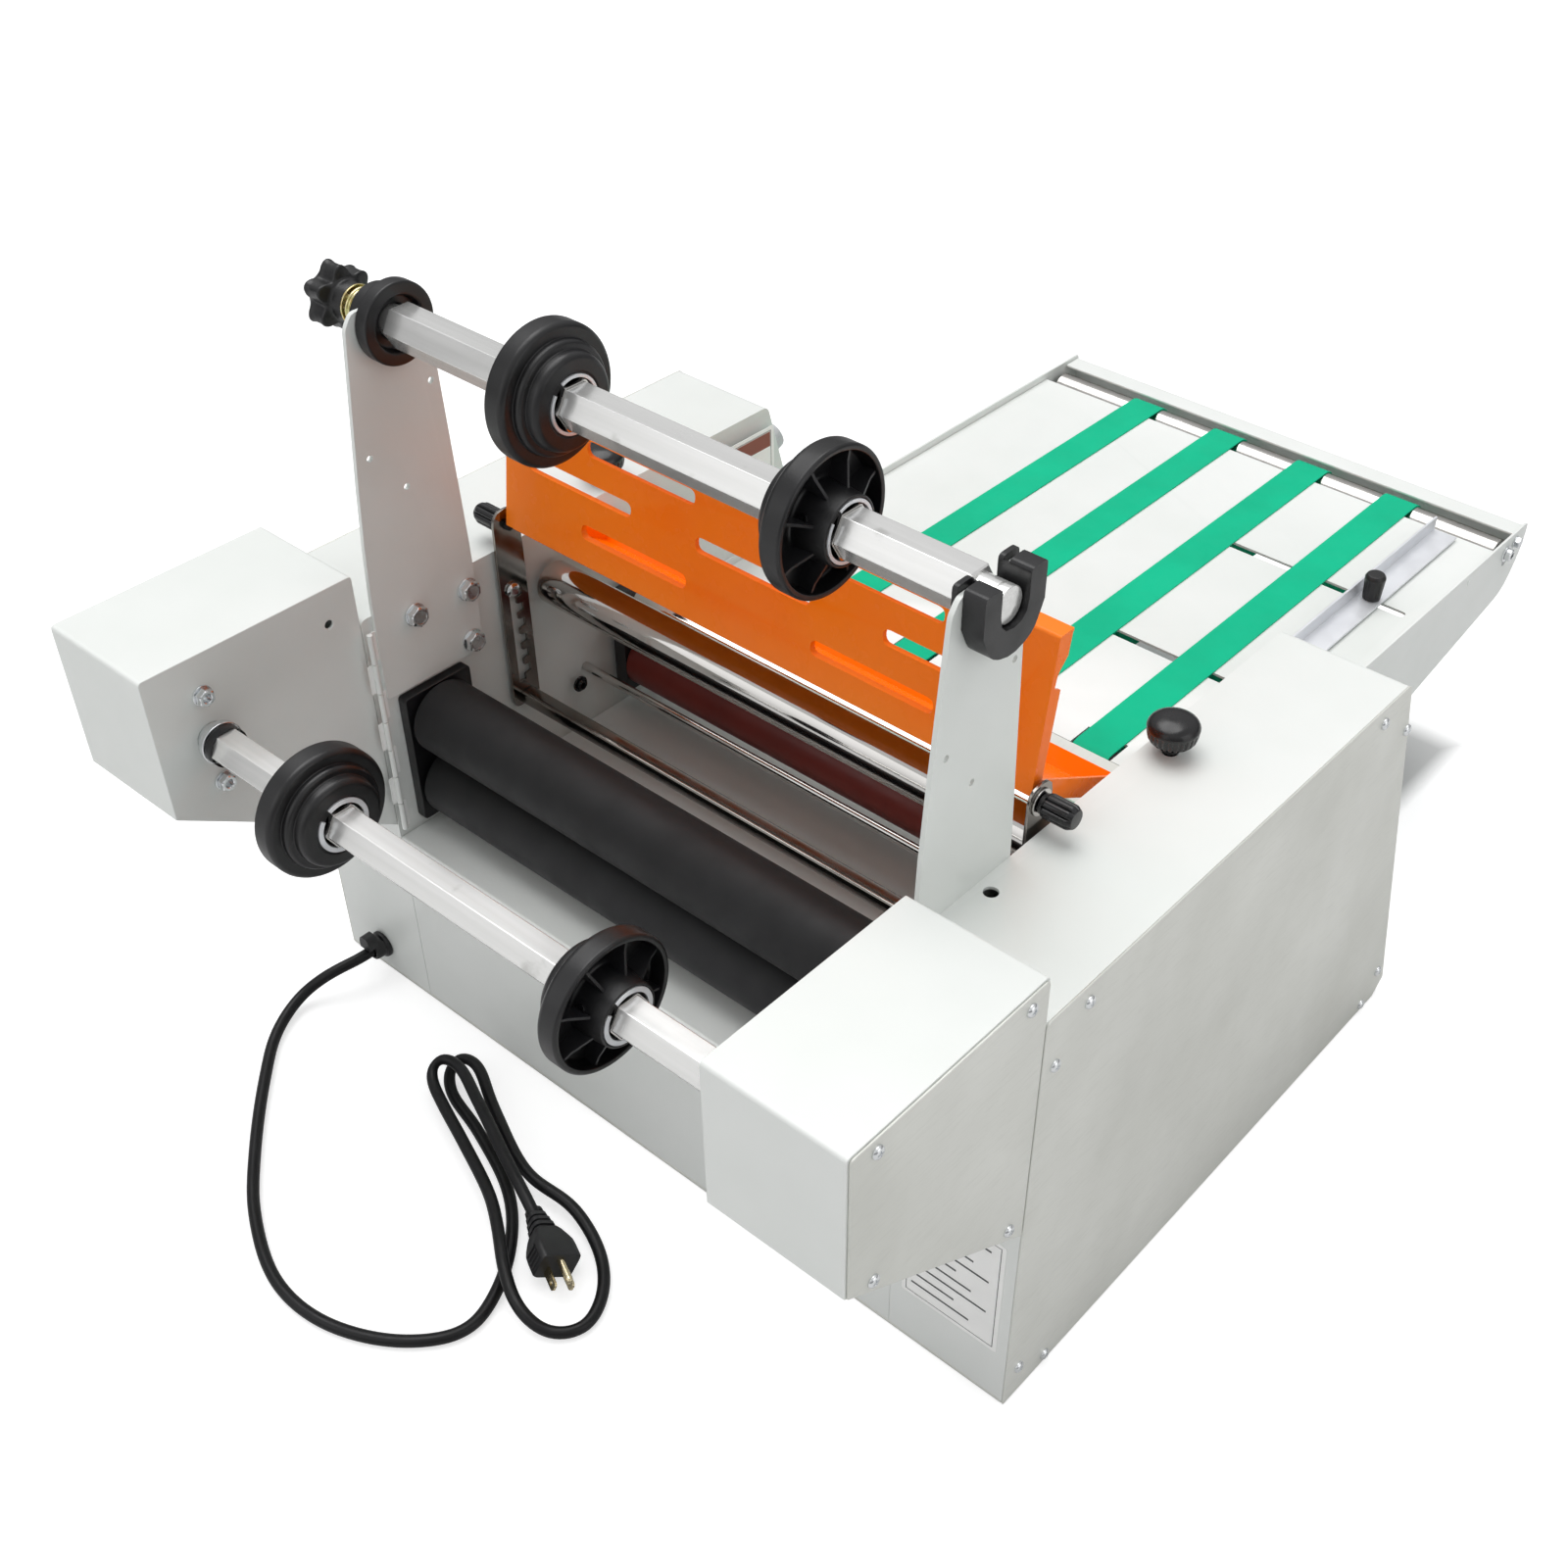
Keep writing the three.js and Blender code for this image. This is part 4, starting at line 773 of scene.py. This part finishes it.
# --- core chucks
def build_chuck(node, shaft_node, way):
    """A core chuck: tiered plug, hollow ribbed flange, hub rings and the spring clip on the bar.

    The plug's face looks away from `way`, which is 1 or -1 along X.
    """
    flats = round_node(shaft_node)[3] * 2
    centre, left, right, outer = round_node(node)
    length = right - left
    origin = centre + X * (left if way > 0 else right) * MM
    along = X * way
    bore, hub, wall = flats / sqrt(3) + 0.5, 20.0, outer - 4
    step, rim = length - 25.5, length - 11
    floor = step + 4
    def spoke(angle):
        return Y * cos(angle) + Z * sin(angle)
    plug = [(bore, 0.8), (18.2, 0.8, 0.3), (18.7, 0, 0.3), (26, 0.3, 2.0), (28, 2.8, 1.8),
            (28.3, 7.4, 0.6), (31.6, 7.8, 1.6), (32.8, 9.6, 1.2), (33, step, 0.5)]
    flange = [(outer - 2, step, 1.2), (outer, step + 2.4, 1.8), (outer, rim - 1.2, 0.8),
              (outer - 1.2, rim, 0.7), (wall + 0.5, rim - 0.3, 0.6), (wall - 0.5, floor, 1.5)]
    sleeve = [(hub + 1.0, floor, 2.0), (hub - 1.0, length - 0.4, 1.4), (17.8, length - 0.2, 0.3),
              (17.6, length - 1.2, 0.2), (bore, length - 1.2)]
    bm = bmesh.new()
    lathe(bm, rounded(plug + flange + sleeve, 0.6, True), origin, along, 112, closed=True)
    ribs, rib = 8, 1.6
    outline = rounded([(hub - 0.6, floor - 0.5), (wall + 0.2, floor - 0.5), (wall + 0.2, rim - 2),
                       (wall - 5, rim - 1.5), (hub - 0.6, rim + 3)], 0.6, True)
    for i in range(ribs):
        out = spoke(FULL_TURN * (i + 0.5) / ribs)
        prism(bm, outline, origin - out.cross(along) * rib / 2 * MM, out, along, rib, 0.3)
    finish_piece(bm, node + "_moulding", BLACK, node, 42)

    bm = bmesh.new()
    steps, notch = 60, radians(24)
    for start, end in ((-0.6, 0.9), (length - 1.3, length + 0.1)):
        section = rectangle(bore + 0.9, start, 17.2, end, 0.3, 2)
        rings = []
        for k in range(steps + 1):
            out = spoke(radians(130) + notch / 2 + (FULL_TURN - notch) * k / steps)
            rings.append([origin + out * c.x + along * c.y for c in section])
        loft(bm, rings)
    finish_piece(bm, node + "_hub_rings", PALE_ALUMINIUM, on=node)

    bm = bmesh.new()
    inner = rounded(hexagon(flats + 0.5), 0.8, True, 2)
    outside = rounded(hexagon(flats + 2.1), 1.2, True, 2)
    for start, end in ((-2.2, 6), (length - 8, length + 0.6)):
        rings = []
        for line, distance in ((inner, start), (outside, start), (outside, end), (inner, end)):
            rings.append([origin + along * distance * MM + Y * v.x + Z * v.y for v in line])
        loft(bm, rings, closed=True)
    finish_piece(bm, node + "_spring_clip", CHROME, on=node)

    profile = [(0, hub + 0.4), (2.0, hub + 0.4), (2.2, hub + 1.1), (3.4, hub + 1.1), (3.6, hub - 2),
               (0, hub - 2)]
    turned_piece(node + "_grub_screw", profile, 0.1, origin + along * (floor + 6) * MM,
                 (Y * -0.9 + Z * 0.42).normalized(), GLOSS_BLACK, segments=24, on=node)


def build_chucks():
    for shaft in ("film", "rewind"):
        for name, side in SIDES:
            build_chuck(shaft + "_chuck_" + name, shaft + "_shaft", side)


# --- rewind shaft
def build_rewind_shaft():
    """The bar with its left journal, the collar on the left box, its nuts and a spacer."""
    centre = axis_x(REWIND)
    _, left, right, half = round_node("rewind_shaft")
    bm = bmesh.new()
    hex_bar(bm, half * 2, left + 25, right, centre)
    rod(bm, 9, left, left + 30, centre, X)
    finish_piece(bm, "rewind_shaft_bar", SATIN_BAR, "rewind_shaft")

    _, start, end, _ = round_node("rewind_bearing")
    shoulder = -WALL / MM + 0.3
    profile = [(9.3, start), (9.9, start), (9.9, shoulder), (14, shoulder), (14, end), (9.3, end)]
    turned_piece("rewind_collar", profile, 0.6, centre, X, ZINC,
                 "rewind_bearing", 72, closed=True)
    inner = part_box("left_rewind_box")[1].x
    nuts = [Vector((inner, REWIND.y, z * MM)) for z in (338.8, 275)]
    fasteners("collar_nuts", hollow_nut, nuts, X)
    bm = bmesh.new()
    ring(bm, half * 2 / sqrt(3) + 0.1, 12.6, end + 0.4, end + 6.5, centre, X, 0.8)
    finish_piece(bm, "rewind_spacer", BLACK, on="rewind_shaft")


# --- rollers
INNER = WALL / MM - 0.3  # half the length, in millimetres, of what fills the gap between the cabinets
TABLE_HALF = INNER - 1  # the same for the table's rollers


def build_roller(node, name, half, look, edge=1.2, shaft=6.0):
    """A roller with rounded ends; its shaft is a second piece on the same body."""
    centre, left, right, radius = round_node(node)
    profile = [(0, -half + 2), (shaft + 3, -half + 2, 0.5), (radius - 2.5, -half, 0.8),
               (radius, -half, edge), (radius, half, edge), (radius - 2.5, half, 0.8),
               (shaft + 3, half - 2, 0.5), (0, half - 2)]
    turned_piece(name, profile, edge, centre, X, look, node, 128)
    if left < -half:
        bm = bmesh.new()
        rod(bm, shaft, left, -half + 3, centre, X, 0.6, 48)
        rod(bm, shaft, half - 3, right, centre, X, 0.6, 48)
        finish_piece(bm, name + "_shaft", STEEL, on=node)


def build_rollers():
    build_roller("pull_roller_upper", "pull_roller_upper_sleeve", 208, RUBBER, 1.6)
    build_roller("pull_roller_lower", "pull_roller_lower_sleeve", 208, RUBBER, 1.6)
    build_roller("nip_roller_upper", "nip_roller_upper_barrel", 204, CHROME)
    build_roller("nip_roller_lower", "nip_roller_lower_sleeve", 202, SILICONE, 1.6)
    build_roller("film_guide_roller", "film_guide_barrel", INNER, CHROME, 0.8)
    build_roller("table_end_roller", "table_end_barrel", TABLE_HALF, ROLLER_STEEL, 1.0, 4.0)
    centre, left, right, radius = round_node("guide_rod")
    bm = bmesh.new()
    rod(bm, radius, left, right, centre, X, 0.3, 40)
    finish_piece(bm, "guide_rod_bar", CHROME, "guide_rod")


def build_drive_roller():
    """The belts' drive roller: a tube with a raised sleeve under each belt."""
    centre, left, right, radius = round_node("table_drive_roller")
    tube_radius, sleeve_half, axle = radius - 3, 15.5, 4
    profile = [(0, left), (axle, left, 0.5), (axle, -TABLE_HALF), (tube_radius, -TABLE_HALF, 0.8)]
    for i in range(1, 5):
        low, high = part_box("feed_belt_%d" % i)
        x = (low.x + high.x) / 2 / MM
        profile += [(tube_radius, x - sleeve_half), (radius, x - sleeve_half, 0.8),
                    (radius, x + sleeve_half, 0.8), (tube_radius, x + sleeve_half)]
    profile += [(tube_radius, TABLE_HALF, 0.8), (axle, TABLE_HALF), (axle, right, 0.5), (0, right)]
    turned_piece("table_drive_barrel", profile, 0.0, centre, X, RUBBER, "table_drive_roller", 96)


def build_nip_bearings():
    """Black end blocks that carry the two nip rollers between the cabinets."""
    upper, lower = hinge_point("nip_upper_spin"), hinge_point("nip_lower_spin")
    half, thickness = 19, 11
    outline = rectangle(-half, (lower.z - upper.z) / MM - 22, half, 22, 6)
    for name, side in SIDES:
        start = -INNER if side < 0 else INNER - thickness
        bm = bmesh.new()
        prism(bm, outline, Vector((start * MM, upper.y, upper.z)), Y, Z, thickness, 0.8)
        finish_piece(bm, name + "_nip_bearing_block", BLACK)


# --- decurl frame and guard
def build_decurl_frame():
    """The slotted arms with their bar, the guard, and the studs that the arms slide on."""
    refine("decurl_bar", NICKEL)
    refine("roller_guard", ORANGE, 0.45)
    stud = [(0, -1.0), (2.6, -1.0), (2.6, 0.1), (5.2, 0.1), (5.4, 1.6, 0.5), (3.4, 3.0, 0.8), (0, 3.1)]
    for name, side in SIDES:
        refine(name + "_decurl_arm", NICKEL, 0.35)
        low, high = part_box(name + "_decurl_arm")
        inner = (high.x if side < 0 else low.x) - side * 0.15 * MM
        place = Vector((inner, (low.y + high.y) / 2 - 2 * MM, 301 * MM))
        turned_piece(name + "_arm_stud_head", stud, 0.2, place, -X * side, ZINC, segments=32)


def build_thumb_knobs():
    """Fluted grips on a threaded stem, each with a washer on its arm."""
    for name, side in SIDES:
        node = name + "_thumb_knob"
        low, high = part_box(node)
        length = (high.x - low.x) / MM
        along = X * side
        flutes, depth, collar = 8, 1.5, length - 24
        def fluted(radius, distance, angle):
            inside = (collar + 4.5) * MM < distance < (length - 1.2) * MM and radius > 6.6 * MM
            wave = abs(cos(flutes * angle / 2))
            return radius - (depth * MM * (1 - wave) ** 2 if inside else 0)
        profile = [(0, 0), (3, 0, 0.4), (3, collar + 1.6), (6.2, collar + 1.6, 0.4), (6.4, collar + 3, 0.4),
                   (7.2, collar + 4.4, 0.4), (7.6, collar + 5.5), (7.6, collar + 10), (7.6, collar + 15),
                   (7.6, length - 4.5), (7.4, length - 3, 0.5), (5.8, length - 0.2, 0.5), (0, length)]
        origin = Vector((low.x if side > 0 else high.x, THUMB.y, THUMB.z))
        turned_piece(node + "_grip", profile, 0.2, origin, along, GLOSS_BLACK, node, 96, 45, shape=fluted)
        arm_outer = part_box(name + "_decurl_arm")[1 if side > 0 else 0].x
        bm = bmesh.new()
        ring(bm, 3.2, 8.6, 0.05, 1.3, Vector((arm_outer, THUMB.y, THUMB.z)), along, 0.4)
        finish_piece(bm, name + "_thumb_washer", CHROME, on=node)


# --- infeed table
def build_table():
    for node in ("table_deck", "table_wall_left", "table_wall_right", "table_end_bar"):
        refine(node, WHITE, 0.45)
    refine("infeed_plate", GALVANISED, 0.3)
    for i in range(1, 5):
        refine("feed_belt_%d" % i, GREEN, 0.25)


def build_side_guide():
    """The angle and the fluted knob that clamps it."""
    refine("side_guide", PALE_ALUMINIUM, 0.3)
    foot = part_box("side_guide")[0].z
    height = (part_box("side_guide_knob")[1].z - foot) / MM
    profile = [(0, -14), (2.4, -14), (2.4, 2.2), (6.8, 2.2, 0.5), (7.0, 5), (7.4, 12), (7.8, height - 4.5),
               (7.9, height - 2.6, 0.6), (6.4, height - 0.2, 0.6), (0, height)]
    turned_piece("side_guide_knob_grip", profile, 0.3, stem_of("side_guide_knob", foot), Z, BLACK,
                 "side_guide_knob", 80, 45, shape=fluting(10, 0.3, 3, height - 3.5, core=6))


def table_fasteners():
    """Bolts at the far ends of the table's side walls, and one rivet in each."""
    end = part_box("table_wall_right")[1].y
    for name, side in SIDES:
        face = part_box("table_wall_" + name)[1 if side > 0 else 0].x
        spots = (35, 210), (20, 214), (101, 215)
        axle, bolt, rivet = (Vector((face, end - y * MM, z * MM)) for y, z in spots)
        fasteners(name + "_table_axle_bolt", socket_bolt, [axle], X * side, radius=5.0, height=4.5)
        fasteners(name + "_table_end_bolt", hex_bolt, [bolt], X * side, flats=8.0, height=3.5, washer=5.0)
        profile = [(2.8, 0), (2.7, 0.6, 0.4), (1.4, 1.3, 0.6), (0, 1.4)]
        turned_piece(name + "_table_rivet", profile, 0.3, rivet, X * side, WHITE, segments=24)


# --- knobs, dial and switch
def build_pressure_knobs():
    """Fluted caps on a stem that goes down into each cabinet's top."""
    for name, _ in SIDES:
        node = name + "_pressure_knob"
        low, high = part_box(node)
        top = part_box(name + "_cabinet")[1].z
        reach, height, depth = (size / MM for size in ((high.x - low.x) / 2, high.z - top, low.z - top))
        fluted = fluting(26, 0.7, 9.4, 17.4, core=reach - 3, power=0.6)
        profile = [(0, depth), (4, depth, 0.5), (4, 0.4), (4.6, 0.4, 0.4), (5.8, 3.5, 0.8), (6, 7.4, 1.2),
                   (11, 8.4, 1.0), (reach - 2.4, 9.3, 0.4), (reach - 1.2, 11), (reach - 0.5, 14),
                   (reach - 0.2, 16.8), (reach, 17.8), (reach, 19, 0.6), (reach - 1.2, 21.4, 1.2),
                   (reach - 4, 23.4, 2), (reach - 9, height - 0.5, 3), (0, height)]
        turned_piece(node + "_grip", profile, 0.6, stem_of(node, top), Z, GLOSS_BLACK, node, 180, 45,
                     shape=fluted)


def build_speed_dial():
    """The knurled dial with its pointer, and the tick marks round it."""
    dial = hinge_point("speed_dial_turn")
    outward, across, up = slanted_back()
    ticks, sweep = 11, 270
    profile = [(0, -10), (4, -10), (4, 0.4), (13.6, 0.4, 0.6), (13.8, 3.4, 0.5), (12.4, 4.2, 0.4),
               (11.8, 9), (11.3, 14.6, 0.9), (9, 16, 1), (0, 15.6)]
    turned_piece("speed_dial_knob", profile, 0.3, dial, outward, GREY,
                 "speed_dial", 144, 45, shape=fluting(36, 0.35, 4.5, 13.5))
    bm = bmesh.new()
    prism(bm, rectangle(-0.6, 2.5, 0.6, 9.5, 0.4), dial + outward * 15.7 * MM, across, up, 0.5, 0.1)
    finish_piece(bm, "speed_dial_pointer", INK, on="speed_dial")
    bm = bmesh.new()
    for i in range(ticks):
        angle = radians(sweep * (i / (ticks - 1) - 0.5))
        out = up * cos(angle) + across * sin(angle)
        tick = rectangle(-0.35, 17, 0.35, 20)
        prism(bm, tick, dial + outward * 0.02 * MM, outward.cross(out), out, -0.2)
    finish_piece(bm, "speed_dial_scale", INK)


def build_power_switch():
    outward, across, up = slanted_back()
    face = hinge_point("power_switch_rock") + outward * 3.05 * MM
    outer, inner = rectangle(-11.5, -15.5, 11.5, 15.5, 1.6), rectangle(-8.7, -12.3, 8.7, 12.3, 0.8)
    rings = []
    brim = [v * 0.96 for v in outer]
    for line, lift in ((inner, 0), (outer, 0), (outer, 1.4), (brim, 2.0), (inner, 2.0)):
        rings.append([face + outward * lift * MM + across * v.x + up * v.y for v in line])
    bm = bmesh.new()
    loft(bm, rings, closed=True)
    finish_piece(bm, "switch_bezel", BLACK)
    refine("power_switch", GLOSS_BLACK)


# --- cord and plug
def build_cord():
    """The cord: the CAD tube, filled out so that its smoothed skin has the full thickness."""
    bm = bmesh.new()
    bm.from_mesh(frame["nodes"]["power_cord"].data)
    bmesh.ops.remove_doubles(bm, verts=bm.verts, dist=1e-6)
    bmesh.ops.join_triangles(bm, faces=bm.faces, angle_face_threshold=0.6, angle_shape_threshold=3.0)
    bm.normal_update()
    for vertex in bm.verts:
        vertex.co += vertex.normal * 0.78 * MM
    piece = finish_piece(bm, "power_cord_jacket", CORD, "power_cord", 180)
    smooth = piece.modifiers.new("round", "SUBSURF")
    smooth.levels = smooth.render_levels = 2


def plug_frame():
    """The plug's place and its directions: along the blades, across them, and up."""
    turn = Matrix.Rotation(-0.42, 3, "Z") @ Matrix.Rotation(-0.5, 3, "X")
    return at(9, -319.5, 15.8), turn @ X, turn @ Y, turn @ Z


def build_plug():
    """The moulding with its ribbed neck and finger grips."""
    origin, along, across, up = plug_frame()
    def section(distance, half_width, half_height, corner):
        line = rectangle(-half_width, -half_height, half_width, half_height, corner, 4)
        return [origin + along * distance * MM + across * v.x + up * v.y for v in line]
    sections = [section(-14.4, 4.6, 4.6, 4)]
    for i in range(4):
        start, size = -14 + 5 * i, 5.4 + 0.75 * i
        for distance, more, corner in ((0, 0, 4.9), (3.0, 0.2, 4.9), (3.3, -0.9, 4.2), (4.7, -0.9, 4.2)):
            sections.append(section(start + distance, size + more, size + more, corner))
    for shape in ((6.5, 9, 8.4, 5), (9, 10.2, 9.2, 5), (15, 12.8, 10, 5), (19, 14, 10.4, 4.5),
                  (24, 14.2, 10.5, 4.2), (33, 14.2, 10.5, 4.2), (34.3, 13.4, 9.8, 3.6)):
        sections.append(section(*shape))
    bm = bmesh.new()
    loft(bm, sections)
    for i in range(4):
        for side in (-1, 1):
            centre = origin + along * (21 + 3.4 * i) * MM + across * side * 14.2 * MM
            tube(bm, [centre - up * 6 * MM, centre, centre + up * 6 * MM], 0.7 * MM, 10)
    finish_piece(bm, "cord_plug_moulding", BLACK, "cord_plug", 50)


def build_plug_blades():
    """Two flat blades with a round hole each, and the round earth pin."""
    origin, along, across, up = plug_frame()
    blade, hole_radius, corners = 1.6, 1.6, 24
    tip = [(33, -6.4), (48.4, -6.4, 1), (50, -5.2, 1), (50, -1.2, 1), (48.4, 0, 1), (33, 0)]
    turns = [FULL_TURN * k / corners for k in range(corners)]
    hole = [Vector((45 + hole_radius * cos(a), -3.2 + hole_radius * sin(a))) * MM for a in turns]
    bm = bmesh.new()
    for side in (-1, 1):
        base = origin + across * (side * 6.35 - blade / 2) * MM
        holed_plate(bm, rounded(tip, 0.4, True), hole, base, along, up, across, blade)
    pin = [(0, 33), (2.4, 33), (2.4, 50.5, 1.4), (1.4, 52.6, 1.0), (0, 53)]
    lathe(bm, rounded(pin, 0.5), origin + up * 5.6 * MM, along, 32)
    finish_piece(bm, "plug_blades", BRASS, sharp=40)


def holed_plate(bm, outline, hole, base, across, up, normal, thickness):
    """A flat blade with one round hole."""
    fronts = []
    for lift in (0.0, thickness * MM):
        outer = [bm.verts.new(base + normal * lift + across * v.x + up * v.y) for v in outline]
        inner = [bm.verts.new(base + normal * lift + across * v.x + up * v.y) for v in hole]
        edges = [bm.edges.new((loop[i - 1], loop[i])) for loop in (outer, inner) for i in range(len(loop))]
        bmesh.ops.triangle_fill(bm, edges=edges, use_beauty=True)
        fronts.append((outer, inner))
    for k in (0, 1):
        near, far = fronts[0][k], fronts[1][k]
        for i in range(len(near)):
            bm.faces.new((near[i - 1], near[i], far[i], far[i - 1]))


def build_strain_relief():
    """The clamp bushing where the cord leaves the left cabinet."""
    low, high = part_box("strain_relief")
    origin = Vector(((low.x + high.x) / 2, FRONT, (low.z + high.z) / 2))
    bore = 5.0
    profile = [(bore, 0.3), (10.5, 0.3, 0.6), (10.5, 3.2, 1.0), (8.4, 4.0, 0.5), (7.8, 11.5, 1.0),
               (bore + 0.6, 12, 0.5)]
    bm = bmesh.new()
    lathe(bm, rounded(profile, 0.4, True), origin, -Y, 56, closed=True)
    wedge = [(-5.5, 5), (5.5, 5), (5.5, 11.5, 2.5), (3.6, 16, 2.0), (-3.6, 16, 2.0), (-5.5, 11.5, 2.5)]
    prism(bm, rounded(wedge, 0.6, True), origin - Y * 8.5 * MM, X, Z, 8.1, 0.7)
    finish_piece(bm, "cord_clamp_bushing", BLACK, "strain_relief")


# --- stage, light and camera
def outside_footprint(look):
    """The floor's glow: none under the machine, so that its slots and gaps stay dark."""
    glow, inside, edge = 0.6, 0.94, 1.02
    low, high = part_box("table_wall_left")[0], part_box("table_wall_right")[1]
    low.y = FRONT + 30 * MM
    middle, half = (low + high) / 2, (high - low) / 2
    middle.z, half.z = 0, 1
    shift = look.node("VectorMath", {0: look.place, 1: middle}, operation="SUBTRACT").outputs[0]
    share = look.node("VectorMath", {0: shift, 1: half}, operation="DIVIDE").outputs[0]
    size = look.node("VectorMath", {0: share}, operation="ABSOLUTE").outputs[0]
    sides = look.node("SeparateXYZ", {0: size}).outputs
    return look.remap(look.math("MAXIMUM", sides[0], sides[1]), inside, edge, end=glow)


def build_stage():
    """A pale floor that glows for the camera only."""
    reach, level = 7.0, -0.0006
    bm = bmesh.new()
    corners = [(-reach, -reach), (reach, -reach), (reach, reach), (-reach, reach)]
    bm.faces.new([bm.verts.new((x, y, level)) for x, y in corners])
    mesh = bpy.data.meshes.new("floor")
    bm.to_mesh(mesh)
    bm.free()
    look = Look("floor_pale", None, specular=0.1)
    look.shader["Roughness"].default_value = 0.8
    look.color(look.noise(3, 2), (0.3, (0.6, 0.6, 0.6, 1)), (0.7, (0.61, 0.61, 0.61, 1)))
    look.shader["Emission Color"].default_value = (1, 1, 1, 1)
    seen = look.node("LightPath").outputs["Is Camera Ray"]
    glow = look.math("MULTIPLY", seen, outside_footprint(look))
    look.links.new(glow, look.shader["Emission Strength"])
    mesh.materials.append(look.material)
    add_object("floor", mesh)


def add_lamp(name, kind, place, target, **settings):
    """A lamp at a place that faces the target."""
    lamp = bpy.data.lights.new(name, kind)
    for key, value in settings.items():
        setattr(lamp, key, value)
    holder = add_object(name, lamp)
    holder.location = place
    holder.rotation_mode = "QUATERNION"
    holder.rotation_quaternion = (Vector(target) - Vector(place)).to_track_quat("-Z", "Y")


def build_world():
    """A white surround for the camera, and a soft grey sky with a dark horizon for the metal."""
    world = bpy.data.worlds.new("studio")
    sky = Graph(world)
    height = sky.node("SeparateXYZ", {0: sky.node("TexCoord").outputs["Generated"]}).outputs["Z"]
    levels = (0.0, 0.3), (0.47, 0.22), (0.56, 0.16), (0.68, 0.5), (0.85, 0.75), (1.0, 0.7)
    stops = [(position, (level, level, level * 1.01, 1)) for position, level in levels]
    lit = sky.node("Background", {"Color": sky.ramp(sky.remap(height, -1, 1), stops), "Strength": 0.95})
    seen = sky.node("Background", {"Color": (1, 1, 1, 1), "Strength": 1.0})
    camera_ray = sky.node("LightPath").outputs["Is Camera Ray"]
    mix = sky.node("MixShader", {0: camera_ray, 1: lit.outputs[0], 2: seen.outputs[0]})
    sky.links.new(mix.outputs[0], sky.nodes["World Output"].inputs["Surface"])
    bpy.context.scene.world = world


def build_light():
    """Two softboxes, in front and at the right, and a wide soft light from above."""
    for name, place, width, height, power in (
        ("front_softbox", (-0.6, -2.2, 1.1), 2.4, 1.8, 9.5),
        ("side_softbox", (2.3, 0.1, 1.1), 1.6, 2.0, 9),
    ):
        shape = {"shape": "RECTANGLE", "size": width, "size_y": height}
        add_lamp(name, "AREA", place, (0, 0, 0.2), energy=power, **shape)
    add_lamp("ceiling_light", "SUN", (0, 0, 0), (0.25, -0.12, -1), energy=1.75, angle=radians(50))


def build_camera():
    """The photographer's view, as turn, height and roll about a point on the machine."""
    azimuth, elevation, roll = (radians(a) for a in (39.23, 41.17, 1.31))
    target, distance = at(-14.4, 30.3, 90), 1.38225
    flat = cos(elevation)
    back = Vector((sin(azimuth) * flat, -cos(azimuth) * flat, sin(elevation)))
    frame_width, focal, sensor = 1600, 1916.66, 36.0  # the first two in the photo's pixels
    data = bpy.data.cameras.new("camera")
    data.sensor_width, data.lens = sensor, sensor * focal / frame_width
    data.shift_x, data.shift_y = -80 / frame_width, 75 / frame_width
    data.clip_start, data.clip_end = 0.05, 50
    camera = add_object("camera", data)
    camera.location = target + back * distance
    camera.rotation_mode = "QUATERNION"
    level = (-back).to_track_quat("-Z", "Y")
    camera.rotation_quaternion = Matrix.Rotation(-roll, 3, -back).to_quaternion() @ level
    bpy.context.scene.camera = camera


def look_of_drive():
    """The CAD nodes that stay as they are: the drive behind the right side plate."""
    for node in ("rewind_clutch", "pull_gear_upper", "pull_gear_lower", "motor_pinion", "drive_motor"):
        mesh = frame["nodes"][node].data
        mesh.materials.clear()
        mesh.materials.append(STEEL.material)


for build in (
    build_housings, housing_screws, box_hinge, build_labels, build_film_shaft, build_brake,
    build_shaft_supports, build_chucks, build_rewind_shaft, build_rollers, build_drive_roller,
    build_nip_bearings, build_decurl_frame, build_thumb_knobs, build_table, build_side_guide,
    table_fasteners, build_pressure_knobs, build_speed_dial, build_power_switch, build_cord,
    build_plug, build_plug_blades, build_strain_relief, look_of_drive, build_stage, build_world,
    build_light, build_camera,
):
    build()
bpy.context.scene.view_settings.view_transform = "Standard"
bpy.context.scene.cycles.use_denoising = True
